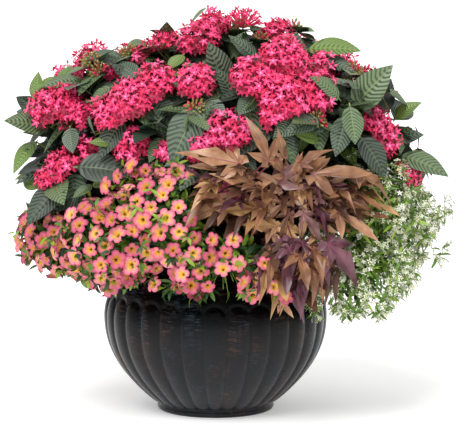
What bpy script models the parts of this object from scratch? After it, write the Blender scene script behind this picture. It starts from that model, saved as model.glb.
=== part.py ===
"""A planted pot at its real size: a pentas with three companion plants in a gadrooned pot.

+Z is up, the front is -Y, and the origin is on the floor at the pot's axis.
Every object is one closed solid, and neighbours keep a gap of about 0.3 mm."""

import math
import random

import bmesh
import bpy
from mathutils import Matrix, Vector
from mathutils.bvhtree import BVHTree

MM = 0.001
GAP = 0.3 * MM
UP = Vector((0, 0, 1))
GOLDEN_ANGLE = math.pi * (3 - math.sqrt(5))

# The pot: a turned body on a foot ring, with a rolled lip.
FOOT_RADIUS = 93 * MM
FOOT_HEIGHT = 9.6 * MM
FOOT_FLARE = 2.5 * MM
BELLY_RADIUS = 179.7 * MM
BELLY_HEIGHT = 157 * MM
BELLY_FULLNESS = 2.2
NECK_RADIUS = 149 * MM
NECK_HEIGHT = 238 * MM
SHOULDER_FULLNESS = 1.7
LIP_RADIUS = 6.5 * MM
RIM_HEIGHT = 253 * MM
WALL = 6 * MM
POT_FLOOR = 14 * MM
POT_COLUMNS = 60
INNER_COLUMNS = 30
FOOT_RING_HEIGHT = 4.8 * MM
RIBBED_HEIGHTS = tuple(z * MM for z in (9.6, 18, 38, 72, 112, 157, 178, 192, 205, 222))
RIB_FADE = 6 * MM
INNER_HEIGHTS = tuple(z * MM for z in (14, 30, 60, 110, 157, 200, 232))
LIP_PROUD = 2 * MM
LIP_OUTER_TURNS = (150, 95)
LIP_INNER_TURN = 35

# Gadroons: convex ribs round the pot, with arched tops.
GADROONS = 30
GADROON_DEPTH = 5 * MM
GADROON_ROUNDNESS = 0.75
GADROON_TOP = 192 * MM
SHOULDER_PROUD = 3.5 * MM
SHOULDER_ROLL = 12 * MM

# The potting mix fills the pot.
SOIL_TOP = 232 * MM
SOIL_SIDE_GAP = 0.5 * MM

# Each plant: where its stem stands, how thick and high it is, and how its masses are made.
# Stem and limb sizes are radii, and a leaf is its length and width.
PLANTS = {
    "pentas": dict(
        foot=(12, 34), stem=(13, 9.5), fork=104, limb=(4.5, 3.2), arch=0.16, core=0.66, twigs=18, reach=0.82,
        leaf=(70, 31), colour=(0.09, 0.17, 0.06)),
    "calibrachoa": dict(
        foot=(-84, -50), stem=(6.5, 4.6), fork=30, limb=(3.0, 2.2), arch=0.5, core=0.76, twigs=31, reach=0.96,
        leaf=(34, 13), colour=(0.55, 0.2, 0.12)),
    "vine": dict(
        foot=(52, -92), stem=(7.5, 5.6), fork=32, limb=(3.6, 2.6), arch=0.5, core=0.5, twigs=19, reach=0.6,
        leaf=(84, 76), colour=(0.25, 0.13, 0.09)),
    "euphorbia": dict(
        foot=(104, -2), stem=(6.0, 4.4), fork=30, limb=(2.8, 2.0), arch=0.42, core=0.6, twigs=15, reach=0.98,
        leaf=(32, 11), colour=(0.5, 0.58, 0.4)),
}
STEM_SIDES = 18
STEM_KNOTS = (0.22, 0.6)
STEM_FLARE = 1.35
LIMB_SIDES = 6
LIMB_STEPS = 3
LIMB_SPREAD = 1.55
LIMB_RISE = 0.45
LIMB_LOWEST = 1.6
LIMB_HIGHEST = 1.0
ENTRY_DEPTH = 0.9
ENTRY_CLEAR = 0.14
SPREAD_ROUNDS = 60
SEAT_ROUNDS = 4
STEM_LEAD = 7 * MM
LEAD_TAPER = 0.9
STEM_TAPER = 0.8
CORE = 0
TWIG_SIDES = 3
TWIG_RADIUS = 2.0 * MM

# Each mass of foliage: its centre and its half sizes, in millimetres.
MASSES = {
    "pentas": {
        "left": ((-218, -26, 496), (100, 104, 72)),
        "left_low": ((-218, -62, 400), (96, 92, 66)),
        "front_left": ((-124, -104, 486), (94, 92, 88)),
        "front": ((-14, -112, 464), (92, 94, 98)),
        "front_right": ((104, -102, 516), (96, 96, 92)),
        "top_left": ((-64, -16, 562), (98, 92, 66)),
        "top_right": ((84, 2, 568), (98, 94, 62)),
        "top_back": ((2, 98, 536), (100, 88, 74)),
        "right": ((216, -44, 482), (108, 100, 92)),
        "right_low": ((268, 0, 402), (86, 94, 66)),
        "back_left": ((-142, 134, 476), (126, 118, 108)),
        "back_right": ((150, 140, 480), (126, 118, 106)),
        "back": ((2, 182, 366), (122, 96, 100)),
    },
    "calibrachoa": {
        "left": ((-240, -46, 290), (78, 80, 62)),
        "front_left": ((-166, -146, 292), (82, 72, 72)),
        "front": ((-74, -176, 340), (88, 68, 78)),
        "front_low": ((12, -200, 270), (92, 52, 62)),
        "back_left": ((-182, 122, 318), (96, 88, 82)),
    },
    "vine": {
        "centre": ((42, -196, 378), (122, 84, 84)),
        "right": ((176, -180, 376), (112, 92, 84)),
        "low": ((124, -206, 280), (108, 66, 78)),
    },
    "euphorbia": {
        "front": ((236, -104, 338), (84, 84, 78)),
        "right": ((288, -8, 306), (68, 80, 66)),
        "low": ((224, -124, 248), (88, 74, 66)),
        "back_right": ((196, 118, 320), (96, 86, 82)),
    },
}
HEART = Vector((0, 0, 320)) * MM
LEAF_ROOM = 28 * MM
LEAF_TRIES = 6
LEAVES_ON_TWIG = 3
BACK_OF_MASS = -0.3
SPACE_MARGIN = 1.2 * MM
POT_MARGIN = 5 * MM
LIMB_MARGIN = 5 * MM

# The pentas's flower heads: centre and radius, in millimetres.
HEADS = (
    (-255, -60, 501, 44), (-243, -96, 416, 38), (-160, -150, 507, 36), (-109, -146, 547, 34),
    (-39, -150, 546, 30), (-24, -30, 615, 36), (56, 0, 638, 22), (62, -160, 535, 34),
    (120, -124, 582, 38), (137, -158, 512, 34), (108, 24, 622, 20), (184, -24, 562, 22),
    (262, -72, 475, 33), (311, -60, 402, 22), (-34, -190, 458, 26), (20, -186, 478, 30),
    (-137, -158, 449, 24), (-95, 20, 613, 24), (-163, -60, 553, 18), (-60, 84, 600, 30),
    (60, 92, 612, 32), (-190, 182, 500, 36), (-104, 196, 540, 34), (-232, 110, 452, 30),
    (146, 196, 532, 36), (214, 144, 500, 32), (90, 214, 474, 30), (-16, 244, 424, 34),
    (-76, 236, 366, 26), (76, 240, 372, 28), (308, 52, 404, 28), (-146, 214, 446, 28),
)
HEAD_SIDES = 7
HEAD_SHRINK = (1.0, 0.85, 0.7)
HEAD_LIFT = 0.8
HEAD_UNDERSIDE = 0.22
HEAD_SHOULDER = (0.32, 0.66)
HEAD_TOP = 0.45

# A pointed blade, as shares of its length.
BLADE_WIDEST = 0.45
BLADE_FOLD = 0.06
BLADE_TIP_DROP = 0.05
BLADE_THICKNESS = 0.016
BLADE_LEAST_THICKNESS = 1.6 * MM

# A lobed blade: half of its outline from base to tip, as shares of its length and width.
LOBES = ((0.0, 0.0), (-0.1, 0.27), (0.13, 0.22), (0.3, 0.5), (0.42, 0.2), (1.0, 0.0))
LOBED_MIDDLE = 0.25
LOBED_SAG = 0.16
LOBED_THICKNESS = 0.02

# An open flower, as shares of its radius: how far its rim, throat and tail lie along its axis.
FUNNEL_RIM = 0.75
FUNNEL_THROAT = 0.62
FUNNEL_TAIL = -0.15
FLOWER_RADII = (16 * MM, 19 * MM)
FLOWER_TILTS = (0.6, 0.2, 1.2)
TINY_FLOWER_RADIUS = 10 * MM

# How twigs and leaves vary.
TWIG_TAPER = 0.7
TWIG_ROOT = 0.7
TWIG_MARGIN = 2 * MM
TWIG_LENGTHS = (0.82, 1.0)
CORE_LUMPS = (0.88, 1.08)
LEAF_SIZES = (0.85, 1.1)
LOBED_SIZES = (0.8, 1.05)
LOBED_SHRINK = (1.0, 0.85, 0.7)
LOBED_TURNS = (0.0, 0.5, -0.5)


# ---------------------------------------------------------------- helpers


def clear_scene():
    for old in list(bpy.data.objects):
        bpy.data.objects.remove(old, do_unlink=True)


def material(name, colour, roughness, metallic=0.0):
    made = bpy.data.materials.new(name)
    made.use_nodes = True
    shader = made.node_tree.nodes["Principled BSDF"]
    shader.inputs["Base Color"].default_value = (*colour, 1)
    shader.inputs["Roughness"].default_value = roughness
    shader.inputs["Metallic"].default_value = metallic
    return made


def add_object(name, bm, finish=None, collection=None):
    """The bmesh as an object, with its faces turned outwards."""
    bmesh.ops.recalc_face_normals(bm, faces=bm.faces)
    mesh = bpy.data.meshes.new(name)
    bm.to_mesh(mesh)
    bm.free()
    made = bpy.data.objects.new(name, mesh)
    (collection or bpy.context.scene.collection).objects.link(made)
    if finish:
        mesh.materials.append(finish)
    return made


def add_ring(bm, centre, radius, sides, across, beside):
    """A ring of points round a centre, in the plane of two unit vectors."""
    ring = []
    for step in range(sides):
        angle = math.tau * step / sides
        ring.append(bm.verts.new(centre + (across * math.cos(angle) + beside * math.sin(angle)) * radius))
    return ring


def join_rings(bm, first, second):
    """Quads between two rings, or three triangles a step where the first has twice the points."""
    count = len(second)
    double = len(first) == 2 * count
    for i in range(count):
        j = (i + 1) % count
        if double:
            bm.faces.new((first[2 * i], first[2 * i + 1], second[i]))
            bm.faces.new((first[2 * i + 1], first[2 * j], second[j]))
            bm.faces.new((first[2 * i + 1], second[j], second[i]))
        else:
            bm.faces.new((first[i], first[j], second[j], second[i]))


def close_ring(bm, ring, point):
    """A fan from a ring to one point."""
    tip = bm.verts.new(point)
    for i in range(len(ring)):
        bm.faces.new((ring[i], ring[(i + 1) % len(ring)], tip))


def frame_of(direction):
    """Two unit vectors square to a direction."""
    side = direction.cross(UP)
    if side.length < 1e-3:
        side = Vector((1, 0, 0))
    side.normalize()
    return side, side.cross(direction).normalized()


def tube(path, sides):
    """A closed tapering tube along (point, radius) pairs."""
    bm = bmesh.new()
    rings = []
    for i, (point, radius) in enumerate(path):
        before = path[max(i - 1, 0)][0]
        after = path[min(i + 1, len(path) - 1)][0]
        across, beside = frame_of((after - before).normalized())
        rings.append(add_ring(bm, point, radius, sides, across, beside))
    for first, second in zip(rings, rings[1:]):
        join_rings(bm, first, second)
    bm.faces.new(rings[0])
    bm.faces.new(rings[-1])
    return bm


def curve_between(start, control, end, radii, steps):
    """(point, radius) pairs on a curve that leaves start towards control and arrives from it."""
    path = []
    for i in range(steps + 1):
        t = i / steps
        point = start * (1 - t) ** 2 + control * 2 * t * (1 - t) + end * t * t
        path.append((point, radii[0] + (radii[1] - radii[0]) * t))
    return path


# ---------------------------------------------------------------- pot and potting mix


def pot_radius(z):
    """The smooth body's outer radius at a height."""
    if z < FOOT_HEIGHT:
        return FOOT_RADIUS + FOOT_FLARE * math.sin(math.pi * z / FOOT_HEIGHT)
    if z < BELLY_HEIGHT:
        left = 1 - (z - FOOT_HEIGHT) / (BELLY_HEIGHT - FOOT_HEIGHT)
        return FOOT_RADIUS + (BELLY_RADIUS - FOOT_RADIUS) * (1 - left ** BELLY_FULLNESS)
    up = min(1, (z - BELLY_HEIGHT) / (NECK_HEIGHT - BELLY_HEIGHT))
    return BELLY_RADIUS - (BELLY_RADIUS - NECK_RADIUS) * up ** SHOULDER_FULLNESS


def gadroon_relief(angle, z):
    """How far the ribbed surface stands proud of the groove's bottom, at an angle from a rib's middle."""
    half_width = math.pi / GADROONS * pot_radius(min(z, GADROON_TOP))
    across = abs(angle) * pot_radius(z)
    rise = max(0.0, z - (GADROON_TOP - half_width))
    off_middle = math.hypot(across, rise)
    if off_middle < half_width:
        return GADROON_DEPTH * (1 - (off_middle / half_width) ** 2) ** GADROON_ROUNDNESS
    if rise == 0.0:
        return 0.0
    roll = min(1.0, (off_middle - half_width) / SHOULDER_ROLL)
    return SHOULDER_PROUD * roll * (2 - roll)


def lip_point(turn):
    """Radius and height on the rolled lip, turned from its outer foot over its top."""
    angle = math.radians(turn)
    middle = NECK_RADIUS - LIP_RADIUS / 2 + LIP_PROUD
    return middle - LIP_RADIUS * math.cos(angle), RIM_HEIGHT - LIP_RADIUS + LIP_RADIUS * math.sin(angle)


def inner_radius(z):
    return pot_radius(z) - WALL


def level_ring(bm, z, radius_at, columns):
    """A level ring whose radius follows a function of the angle from the front."""
    ring = []
    for step in range(columns):
        angle = math.tau * step / columns
        radius = radius_at(angle)
        ring.append(bm.verts.new((radius * math.sin(angle), -radius * math.cos(angle), z)))
    return ring


def make_pot():
    bm = bmesh.new()
    rib_angle = math.tau / GADROONS
    outer = []
    for z in (0.0, FOOT_RING_HEIGHT):
        outer.append(level_ring(bm, z, lambda a, z=z: pot_radius(z), POT_COLUMNS))
    for z in RIBBED_HEIGHTS:
        fade = min(1.0, (z - FOOT_HEIGHT) / RIB_FADE)
        outer.append(level_ring(
            bm, z,
            lambda a, z=z, fade=fade: pot_radius(z) - GADROON_DEPTH / 2
            + fade * gadroon_relief((a + rib_angle / 2) % rib_angle - rib_angle / 2, z),
            POT_COLUMNS))
    outer.append(level_ring(bm, NECK_HEIGHT, lambda a: NECK_RADIUS, POT_COLUMNS))
    for turn in LIP_OUTER_TURNS:
        radius, z = lip_point(turn)
        outer.append(level_ring(bm, z, lambda a, radius=radius: radius, POT_COLUMNS))
    for first, second in zip(outer, outer[1:]):
        join_rings(bm, first, second)
    close_ring(bm, outer[0], (0, 0, 0))
    lip_radius, lip_height = lip_point(LIP_INNER_TURN)
    inner = [level_ring(bm, lip_height, lambda a: lip_radius, INNER_COLUMNS)]
    for z in reversed(INNER_HEIGHTS):
        inner.append(level_ring(bm, z, lambda a, z=z: inner_radius(z), INNER_COLUMNS))
    join_rings(bm, outer[-1], inner[0])
    for first, second in zip(inner, inner[1:]):
        join_rings(bm, first, second)
    close_ring(bm, inner[-1], (0, 0, POT_FLOOR))
    return add_object("pot", bm, material("pot_resin", (0.03, 0.03, 0.034), 0.42, 0.2))


def make_potting_mix():
    bm = bmesh.new()
    rings = []
    for z in INNER_HEIGHTS:
        height = max(z, POT_FLOOR + GAP)
        rings.append(level_ring(bm, height, lambda a, z=z: inner_radius(z) - SOIL_SIDE_GAP, INNER_COLUMNS))
    for first, second in zip(rings, rings[1:]):
        join_rings(bm, first, second)
    close_ring(bm, rings[0], (0, 0, POT_FLOOR + GAP))
    close_ring(bm, rings[-1], (0, 0, SOIL_TOP))
    return add_object("potting_mix", bm, material("potting_mix", (0.05, 0.034, 0.022), 0.95))


# ---------------------------------------------------------------- stems and boughs


def millimetres(values):
    return Vector(values) * MM


def stem_path(plant):
    """The main stem: it flares at its foot and stands straight up from the potting mix."""
    low, high = plant["stem"]
    x, y = plant["foot"]
    foot = Vector((x * MM, y * MM, SOIL_TOP + GAP))
    top = foot + UP * plant["fork"] * MM
    return [
        (foot, low * STEM_FLARE * MM),
        (foot.lerp(top, STEM_KNOTS[0]), low * MM),
        (foot.lerp(top, STEM_KNOTS[1]), (low + high) / 2 * MM),
        (top, high * MM),
    ]


def stem_radius(path, z):
    for (low, low_radius), (high, high_radius) in zip(path, path[1:]):
        if z <= high.z:
            return low_radius + (high_radius - low_radius) * max(0, z - low.z) / (high.z - low.z)
    return path[-1][1]


def mass_entry(plant, centre, half, attach):
    """The control point of a bough's curve and the point where the bough enters its mass."""
    out = centre - attach
    level = math.hypot(out.x, out.y)
    control = attach + out * LIMB_RISE + UP * level * plant["arch"]
    inwards = (control - centre).normalized()
    entry = centre + inwards * (plant["core"] * ENTRY_DEPTH + ENTRY_CLEAR) * sum(half) / 3
    return control, entry


def spread_round(angles, least):
    """Angles pushed apart where two are closer than the least angle, each near where it was."""
    order = sorted(angles, key=angles.get)
    for _ in range(SPREAD_ROUNDS):
        for first, second in zip(order, order[1:] + order[:1]):
            lacking = least - (angles[second] - angles[first]) % math.tau
            if lacking > 0:
                angles[first] -= lacking / 2
                angles[second] += lacking / 2
    return angles


def bough_paths(plant, masses):
    """One tapering bough for each mass, from its own side of the stem. The flattest leave it lowest."""
    stem = stem_path(plant)
    foot, top = stem[0][0], stem[-1][0]
    base_radius, tip_radius = (radius * MM for radius in plant["limb"])
    centres = {name: millimetres(centre) for name, (centre, half) in masses.items()}
    bearings = {name: math.atan2(centre.y - foot.y, centre.x - foot.x) for name, centre in centres.items()}
    least = LIMB_SPREAD * base_radius / (stem[1][1] + base_radius)
    bearings = spread_round(bearings, least)
    order = sorted(masses, key=lambda name: (centres[name].z - top.z) / (centres[name] - foot).xy.length)
    paths = {}
    for rank, name in enumerate(order):
        centre, half = centres[name], millimetres(masses[name][1])
        share = (rank + 0.5) / len(order)
        lowest, highest = foot.z + base_radius * LIMB_LOWEST, top.z - base_radius * LIMB_HIGHEST
        height = lowest + (highest - lowest) * share
        axis_point = Vector((foot.x, foot.y, height))
        level = Vector((math.cos(bearings[name]), math.sin(bearings[name]), 0))
        clear = stem_radius(stem, height) + GAP
        cap_lean = 0.0
        for _ in range(SEAT_ROUNDS):
            attach = axis_point + level * (clear + cap_lean)
            control, entry = mass_entry(plant, centre, half, attach)
            path = curve_between(attach, control, entry, (base_radius, tip_radius), LIMB_STEPS)
            rising = (path[1][0] - attach).normalized()
            cap_lean = base_radius * math.cos(math.pi / LIMB_SIDES) * rising.z
        paths[name] = path
    return paths


# ---------------------------------------------------------------- the space of each mass


class Space:
    """What a mass may fill: its own side of the planes between masses, clear of pot and limbs."""

    def __init__(self, centre, half, others, limbs):
        self.centre = centre
        self.half = half
        self.limbs = limbs
        self.planes = []
        own_weight = (sum(half) / 3) ** 2
        for other, other_half in others:
            between = other - centre
            weight = (sum(other_half) / 3) ** 2
            distance = (between.length_squared + own_weight - weight) / (2 * between.length)
            self.planes.append((between.normalized(), distance - SPACE_MARGIN))

    def own_side(self, point):
        offset = point - self.centre
        return all(offset.dot(normal) < distance for normal, distance in self.planes)

    def holds(self, point, limb_margin=LIMB_MARGIN):
        scaled = Vector(a / (b + LEAF_ROOM) for a, b in zip(point - self.centre, self.half))
        if scaled.length > 1 or not self.own_side(point):
            return False
        outside = math.hypot(point.x, point.y) > pot_radius(point.z) + POT_MARGIN
        if not outside and point.z < RIM_HEIGHT + POT_MARGIN:
            return False
        return all(off_limb(point, limb) > limb_margin for limb in self.limbs)


def off_limb(point, path):
    """The distance from a point to a limb's surface."""
    least = 1e9
    for (start, start_radius), (end, end_radius) in zip(path, path[1:]):
        along = end - start
        t = min(1, max(0, (point - start).dot(along) / along.length_squared))
        radius = start_radius + (end_radius - start_radius) * t
        least = min(least, (point - start - along * t).length - radius)
    return least


# ---------------------------------------------------------------- leaves and flowers


class Growth:
    """The closed solids of one mass, which are fused together at the end."""

    def __init__(self, name, space):
        self.name = name
        self.space = space
        self.trees = []
        self.pieces = []
        self.collection = bpy.data.collections.new(name + "_pieces")
        bpy.context.scene.collection.children.link(self.collection)

    def add(self, bm):
        """Keep a piece, and return its number."""
        self.trees.append(BVHTree.FromBMesh(bm))
        self.pieces.append(add_object(self.name + "_piece", bm, collection=self.collection))
        return len(self.trees) - 1

    def drop_last(self):
        """Take back the last piece, such as a twig that found no room for a leaf."""
        self.trees.pop()
        bpy.data.objects.remove(self.pieces.pop(), do_unlink=True)

    def crosses(self, bm, joins):
        """Whether a piece cuts through one that it doesn't grow from."""
        tree = BVHTree.FromBMesh(bm)
        return any(tree.overlap(other) for i, other in enumerate(self.trees) if i not in joins)

    def add_if_clear(self, bm, joins, free=0):
        """Keep a piece that lies in the mass's space, but for its first few points, and crosses nothing."""
        bm.verts.ensure_lookup_table()
        points = [vert.co for vert in bm.verts][free:]
        middle = sum(points, Vector()) / len(points)
        tests = points + [point.lerp(middle, 0.5) for point in points]
        if all(self.space.holds(point) for point in tests) and not self.crosses(bm, joins):
            return self.add(bm)
        bm.free()
        return None

    def fuse(self, first, finish):
        """One solid: the first piece joined by one Boolean union with all the others."""
        joined = add_object(self.name, first, finish)
        union = joined.modifiers.new("union", "BOOLEAN")
        union.operation = "UNION"
        union.solver = "EXACT"
        union.operand_type = "COLLECTION"
        union.collection = self.collection
        evaluated = joined.evaluated_get(bpy.context.evaluated_depsgraph_get())
        mesh = bpy.data.meshes.new_from_object(evaluated)
        joined.modifiers.clear()
        joined.data = mesh
        mesh.materials.clear()
        mesh.materials.append(finish)
        for piece in list(self.collection.objects):
            bpy.data.objects.remove(piece, do_unlink=True)
        bpy.data.collections.remove(self.collection)
        keep_largest_shell(mesh)
        return joined


def keep_largest_shell(mesh):
    """Drop loose scraps, and the inner shells of hollows that the union sealed."""
    bm = bmesh.new()
    bm.from_mesh(mesh)
    shells = []
    unseen = set(bm.faces)
    while unseen:
        shell = [unseen.pop()]
        for face in shell:
            for edge in face.edges:
                for beside in edge.link_faces:
                    if beside in unseen:
                        unseen.discard(beside)
                        shell.append(beside)
        shells.append(shell)
    for shell in sorted(shells, key=len)[:-1]:
        bmesh.ops.delete(bm, geom=shell, context="FACES")
    bm.to_mesh(mesh)
    bm.free()


def leaf_frame(direction, lean):
    """Along, across and face directions of a leaf that points one way, its face turned up."""
    along = direction.normalized()
    across = along.cross(UP + lean).normalized()
    return along, across, across.cross(along).normalized()


def blade(base, direction, lean, length, width):
    """A pointed leaf of eight faces, folded along its midrib."""
    along, across, face = leaf_frame(direction, lean)
    thick = max(BLADE_LEAST_THICKNESS, length * BLADE_THICKNESS)
    middle = base + along * length * BLADE_WIDEST
    tip = base + along * length - face * length * BLADE_TIP_DROP
    bm = bmesh.new()
    side = across * width / 2
    ring = [bm.verts.new(point) for point in (base, middle + side, tip, middle - side)]
    close_ring(bm, ring, middle - face * (length * BLADE_FOLD - thick / 2))
    close_ring(bm, list(reversed(ring)), middle - face * (length * BLADE_FOLD + thick / 2))
    return bm


def lobed_leaf(base, direction, lean, length, width):
    """A lobed leaf, a thin plate with five points that hang a little."""
    along, across, face = leaf_frame(direction, lean)
    thick = length * LOBED_THICKNESS
    outline = list(LOBES) + [(u, -v) for u, v in reversed(LOBES[1:-1])]
    bm = bmesh.new()
    ring = []
    for u, v in outline:
        sag = length * LOBED_SAG * (u * u + v * v)
        ring.append(bm.verts.new(base + along * u * length + across * v * width - face * sag))
    middle = base + along * length * LOBED_MIDDLE
    close_ring(bm, ring, middle + face * thick / 2)
    close_ring(bm, list(reversed(ring)), middle - face * thick / 2)
    return bm


def flower_head(centre, axis, radius):
    """A domed head of florets."""
    across, beside = frame_of(axis)
    bm = bmesh.new()
    rim = add_ring(bm, centre, radius, HEAD_SIDES, across, beside)
    up, share = HEAD_SHOULDER
    dome = add_ring(bm, centre + axis * radius * up, radius * share, HEAD_SIDES, across, beside)
    close_ring(bm, rim, centre - axis * radius * HEAD_UNDERSIDE)
    join_rings(bm, rim, dome)
    close_ring(bm, dome, centre + axis * radius * HEAD_TOP)
    return bm


def funnel_flower(base, axis, radius, sides=5):
    """A flower open at its face, whose tube runs back into its twig."""
    across, beside = frame_of(axis)
    bm = bmesh.new()
    rim = add_ring(bm, base + axis * radius * FUNNEL_RIM, radius, sides, across, beside)
    close_ring(bm, rim, base + axis * radius * FUNNEL_THROAT)
    close_ring(bm, list(reversed(rim)), base + axis * radius * FUNNEL_TAIL)
    return bm


def twig(start, end):
    return tube([(start, TWIG_RADIUS), (end, TWIG_RADIUS * TWIG_TAPER)], TWIG_SIDES)


# ---------------------------------------------------------------- growing a mass


def core_solid(space, share, rng):
    """The dense inside of a mass, a lumpy ball cut back to the mass's space, that twigs stand out of."""
    bm = bmesh.new()
    bmesh.ops.create_icosphere(bm, subdivisions=1, radius=1.0)
    for vert in bm.verts:
        step = Vector(a * b for a, b in zip(vert.co, space.half)) * rng.uniform(*CORE_LUMPS)
        reach = share
        while reach > 0.1 and not space.holds(space.centre + step * reach):
            reach -= 0.04
        vert.co = space.centre + step * reach
    return bm


def twig_directions(count, outwards, rng):
    """Directions spread evenly over the outer side of a sphere, turned by a seeded start."""
    turn = rng.uniform(0, math.tau)
    directions = []
    for i in range(count):
        z = 1 - 2 * (i + 0.5) / count
        level = math.sqrt(1 - z * z)
        angle = turn + i * GOLDEN_ANGLE
        direction = Vector((level * math.cos(angle), level * math.sin(angle), z))
        if direction.dot(outwards) > BACK_OF_MASS:
            directions.append(direction)
    return directions


def twig_end(space, direction, reach):
    """The furthest point towards a direction, within reach, that the mass may use."""
    step = Vector((direction.x * space.half.x, direction.y * space.half.y, direction.z * space.half.z))
    share = reach
    while share > 0.3:
        if space.holds(space.centre + step * share) and space.holds(space.centre + step * share * 0.8):
            return space.centre + step * share
        share -= 0.06
    return None


def grow_twig(growth, start, end):
    """A twig from inside the core, if it stays clear of limbs, neighbours and other twigs."""
    tests = [start.lerp(end, t) for t in (0.4, 0.6, 0.8, 1.0)]
    if not all(growth.space.holds(point, TWIG_MARGIN) for point in tests):
        return None
    made = twig(start, end)
    if growth.crosses(made, {CORE}):
        made.free()
        return None
    return growth.add(made)


def around(axis, angle):
    """The direction square to an axis, at an angle round it."""
    across, beside = frame_of(axis)
    return across * math.cos(angle) + beside * math.sin(angle)


def grow_pentas_twig(growth, plant, start, end, outwards, rng):
    """A twig with a spray of broad leaves round its end."""
    length, width = (size * MM for size in plant["leaf"])
    axis = (end - start).normalized()
    turn = rng.uniform(0, math.tau)
    number = grow_twig(growth, start, end)
    if number is None:
        return
    kept = 0
    for i in range(LEAF_TRIES):
        direction = around(axis, turn + i * math.tau / LEAF_TRIES) + axis * rng.uniform(0.2, 0.9) - UP * 0.15
        size = rng.uniform(*LEAF_SIZES)
        root = start.lerp(end, 0.95 - 0.05 * kept)
        leaf = blade(root, direction, outwards * 0.8, length * size, width * size)
        if kept < LEAVES_ON_TWIG and growth.add_if_clear(leaf, {number}, free=1) is not None:
            kept += 1
    if not kept:
        growth.drop_last()


def grow_calibrachoa_twig(growth, plant, start, end, outwards, rng):
    """A twig that ends in an open flower, or where it has no room in a small leaf."""
    length, width = (size * MM for size in plant["leaf"])
    axis = (end - start).normalized()
    number = grow_twig(growth, start, end)
    if number is None:
        return
    for tilt in FLOWER_TILTS:
        facing = (axis + outwards * tilt + UP * 0.2).normalized()
        flower = funnel_flower(start.lerp(end, 0.95), facing, rng.uniform(*FLOWER_RADII))
        if growth.add_if_clear(flower, {number}) is not None:
            return
    for turn in range(LEAF_TRIES):
        direction = around(axis, turn * math.tau / LEAF_TRIES) + axis * 0.6
        leaf = blade(start.lerp(end, 0.9), direction, outwards, length, width)
        if growth.add_if_clear(leaf, {number}, free=1) is not None:
            return
    growth.drop_last()


def grow_vine_twig(growth, plant, start, end, outwards, rng):
    """A leaf stalk that ends in a lobed leaf, which hangs outwards."""
    length, width = (size * MM for size in plant["leaf"])
    axis = (end - start).normalized()
    size = rng.uniform(*LOBED_SIZES)
    number = grow_twig(growth, start, end)
    if number is None:
        return
    for shrink in LOBED_SHRINK:
        for turn in LOBED_TURNS:
            turned = Matrix.Rotation(turn, 3, "Z") @ axis
            direction = (turned + outwards * 0.3 - UP * rng.uniform(0.1, 0.6)).normalized()
            lean = outwards * rng.uniform(0.5, 1.2)
            scale = size * shrink
            leaf = lobed_leaf(start.lerp(end, 0.95), direction, lean, length * scale, width * scale)
            if growth.add_if_clear(leaf, {number}) is not None:
                return
    growth.drop_last()


def grow_euphorbia_twig(growth, plant, start, end, outwards, rng):
    """A wiry twig with a tiny flower and narrow leaves."""
    length, width = (size * MM for size in plant["leaf"])
    axis = (end - start).normalized()
    number = grow_twig(growth, start, end)
    if number is None:
        return
    flower = funnel_flower(start.lerp(end, 0.95), (outwards + UP).normalized(), TINY_FLOWER_RADIUS, 4)
    growth.add_if_clear(flower, {number})
    kept = 0
    turn = rng.uniform(0, math.tau)
    for i in range(LEAF_TRIES):
        direction = around(axis, turn + i * math.tau / LEAF_TRIES) + axis * 0.8
        leaf = blade(start.lerp(end, 0.65 + 0.2 * kept), direction, outwards, length, width)
        if kept < 2 and growth.add_if_clear(leaf, {number}, free=1) is not None:
            kept += 1


GROW_TWIG = {
    "pentas": grow_pentas_twig,
    "calibrachoa": grow_calibrachoa_twig,
    "vine": grow_vine_twig,
    "euphorbia": grow_euphorbia_twig,
}


def grow_heads(growth, core_share):
    """The pentas's flower heads that lie in this mass, each on a twig of its own."""
    space = growth.space
    for x, y, z, radius in HEADS:
        centre = millimetres((x, y, z))
        if not space.own_side(centre):
            continue
        offset = centre - space.centre
        axis = (offset.normalized() + UP * HEAD_LIFT).normalized()
        start = space.centre + offset * core_share / 2
        for shrink in HEAD_SHRINK:
            head = flower_head(centre, axis, radius * shrink * MM)
            if all(space.own_side(vert.co) for vert in head.verts) and not growth.crosses(head, {CORE}):
                growth.add(head)
                growth.add(twig(start, centre))
                break
            head.free()


def grow_mass(name, kind, plant, space, bough, finish, rng):
    """One mass: a stem that takes over from its bough, a core, and twigs with what they carry."""
    growth = Growth(name, space)
    tip, tip_radius = bough[-1]
    arriving = (tip - bough[-2][0]).normalized()
    start = tip + arriving * GAP
    stem = tube([
        (start, tip_radius),
        (start + arriving * STEM_LEAD, tip_radius * LEAD_TAPER),
        (space.centre, tip_radius * STEM_TAPER),
    ], LIMB_SIDES)
    growth.add(core_solid(space, plant["core"], rng))
    if kind == "pentas":
        grow_heads(growth, plant["core"])
    away = (space.centre - HEART).normalized()
    for direction in twig_directions(plant["twigs"], away, rng):
        end = twig_end(space, direction, plant["reach"] * rng.uniform(*TWIG_LENGTHS))
        if end is None:
            continue
        inner = space.centre + (end - space.centre) * plant["core"] * TWIG_ROOT
        GROW_TWIG[kind](growth, plant, inner, end, (end - HEART).normalized(), rng)
    return growth.fuse(stem, finish)


# ---------------------------------------------------------------- the whole plant


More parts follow.
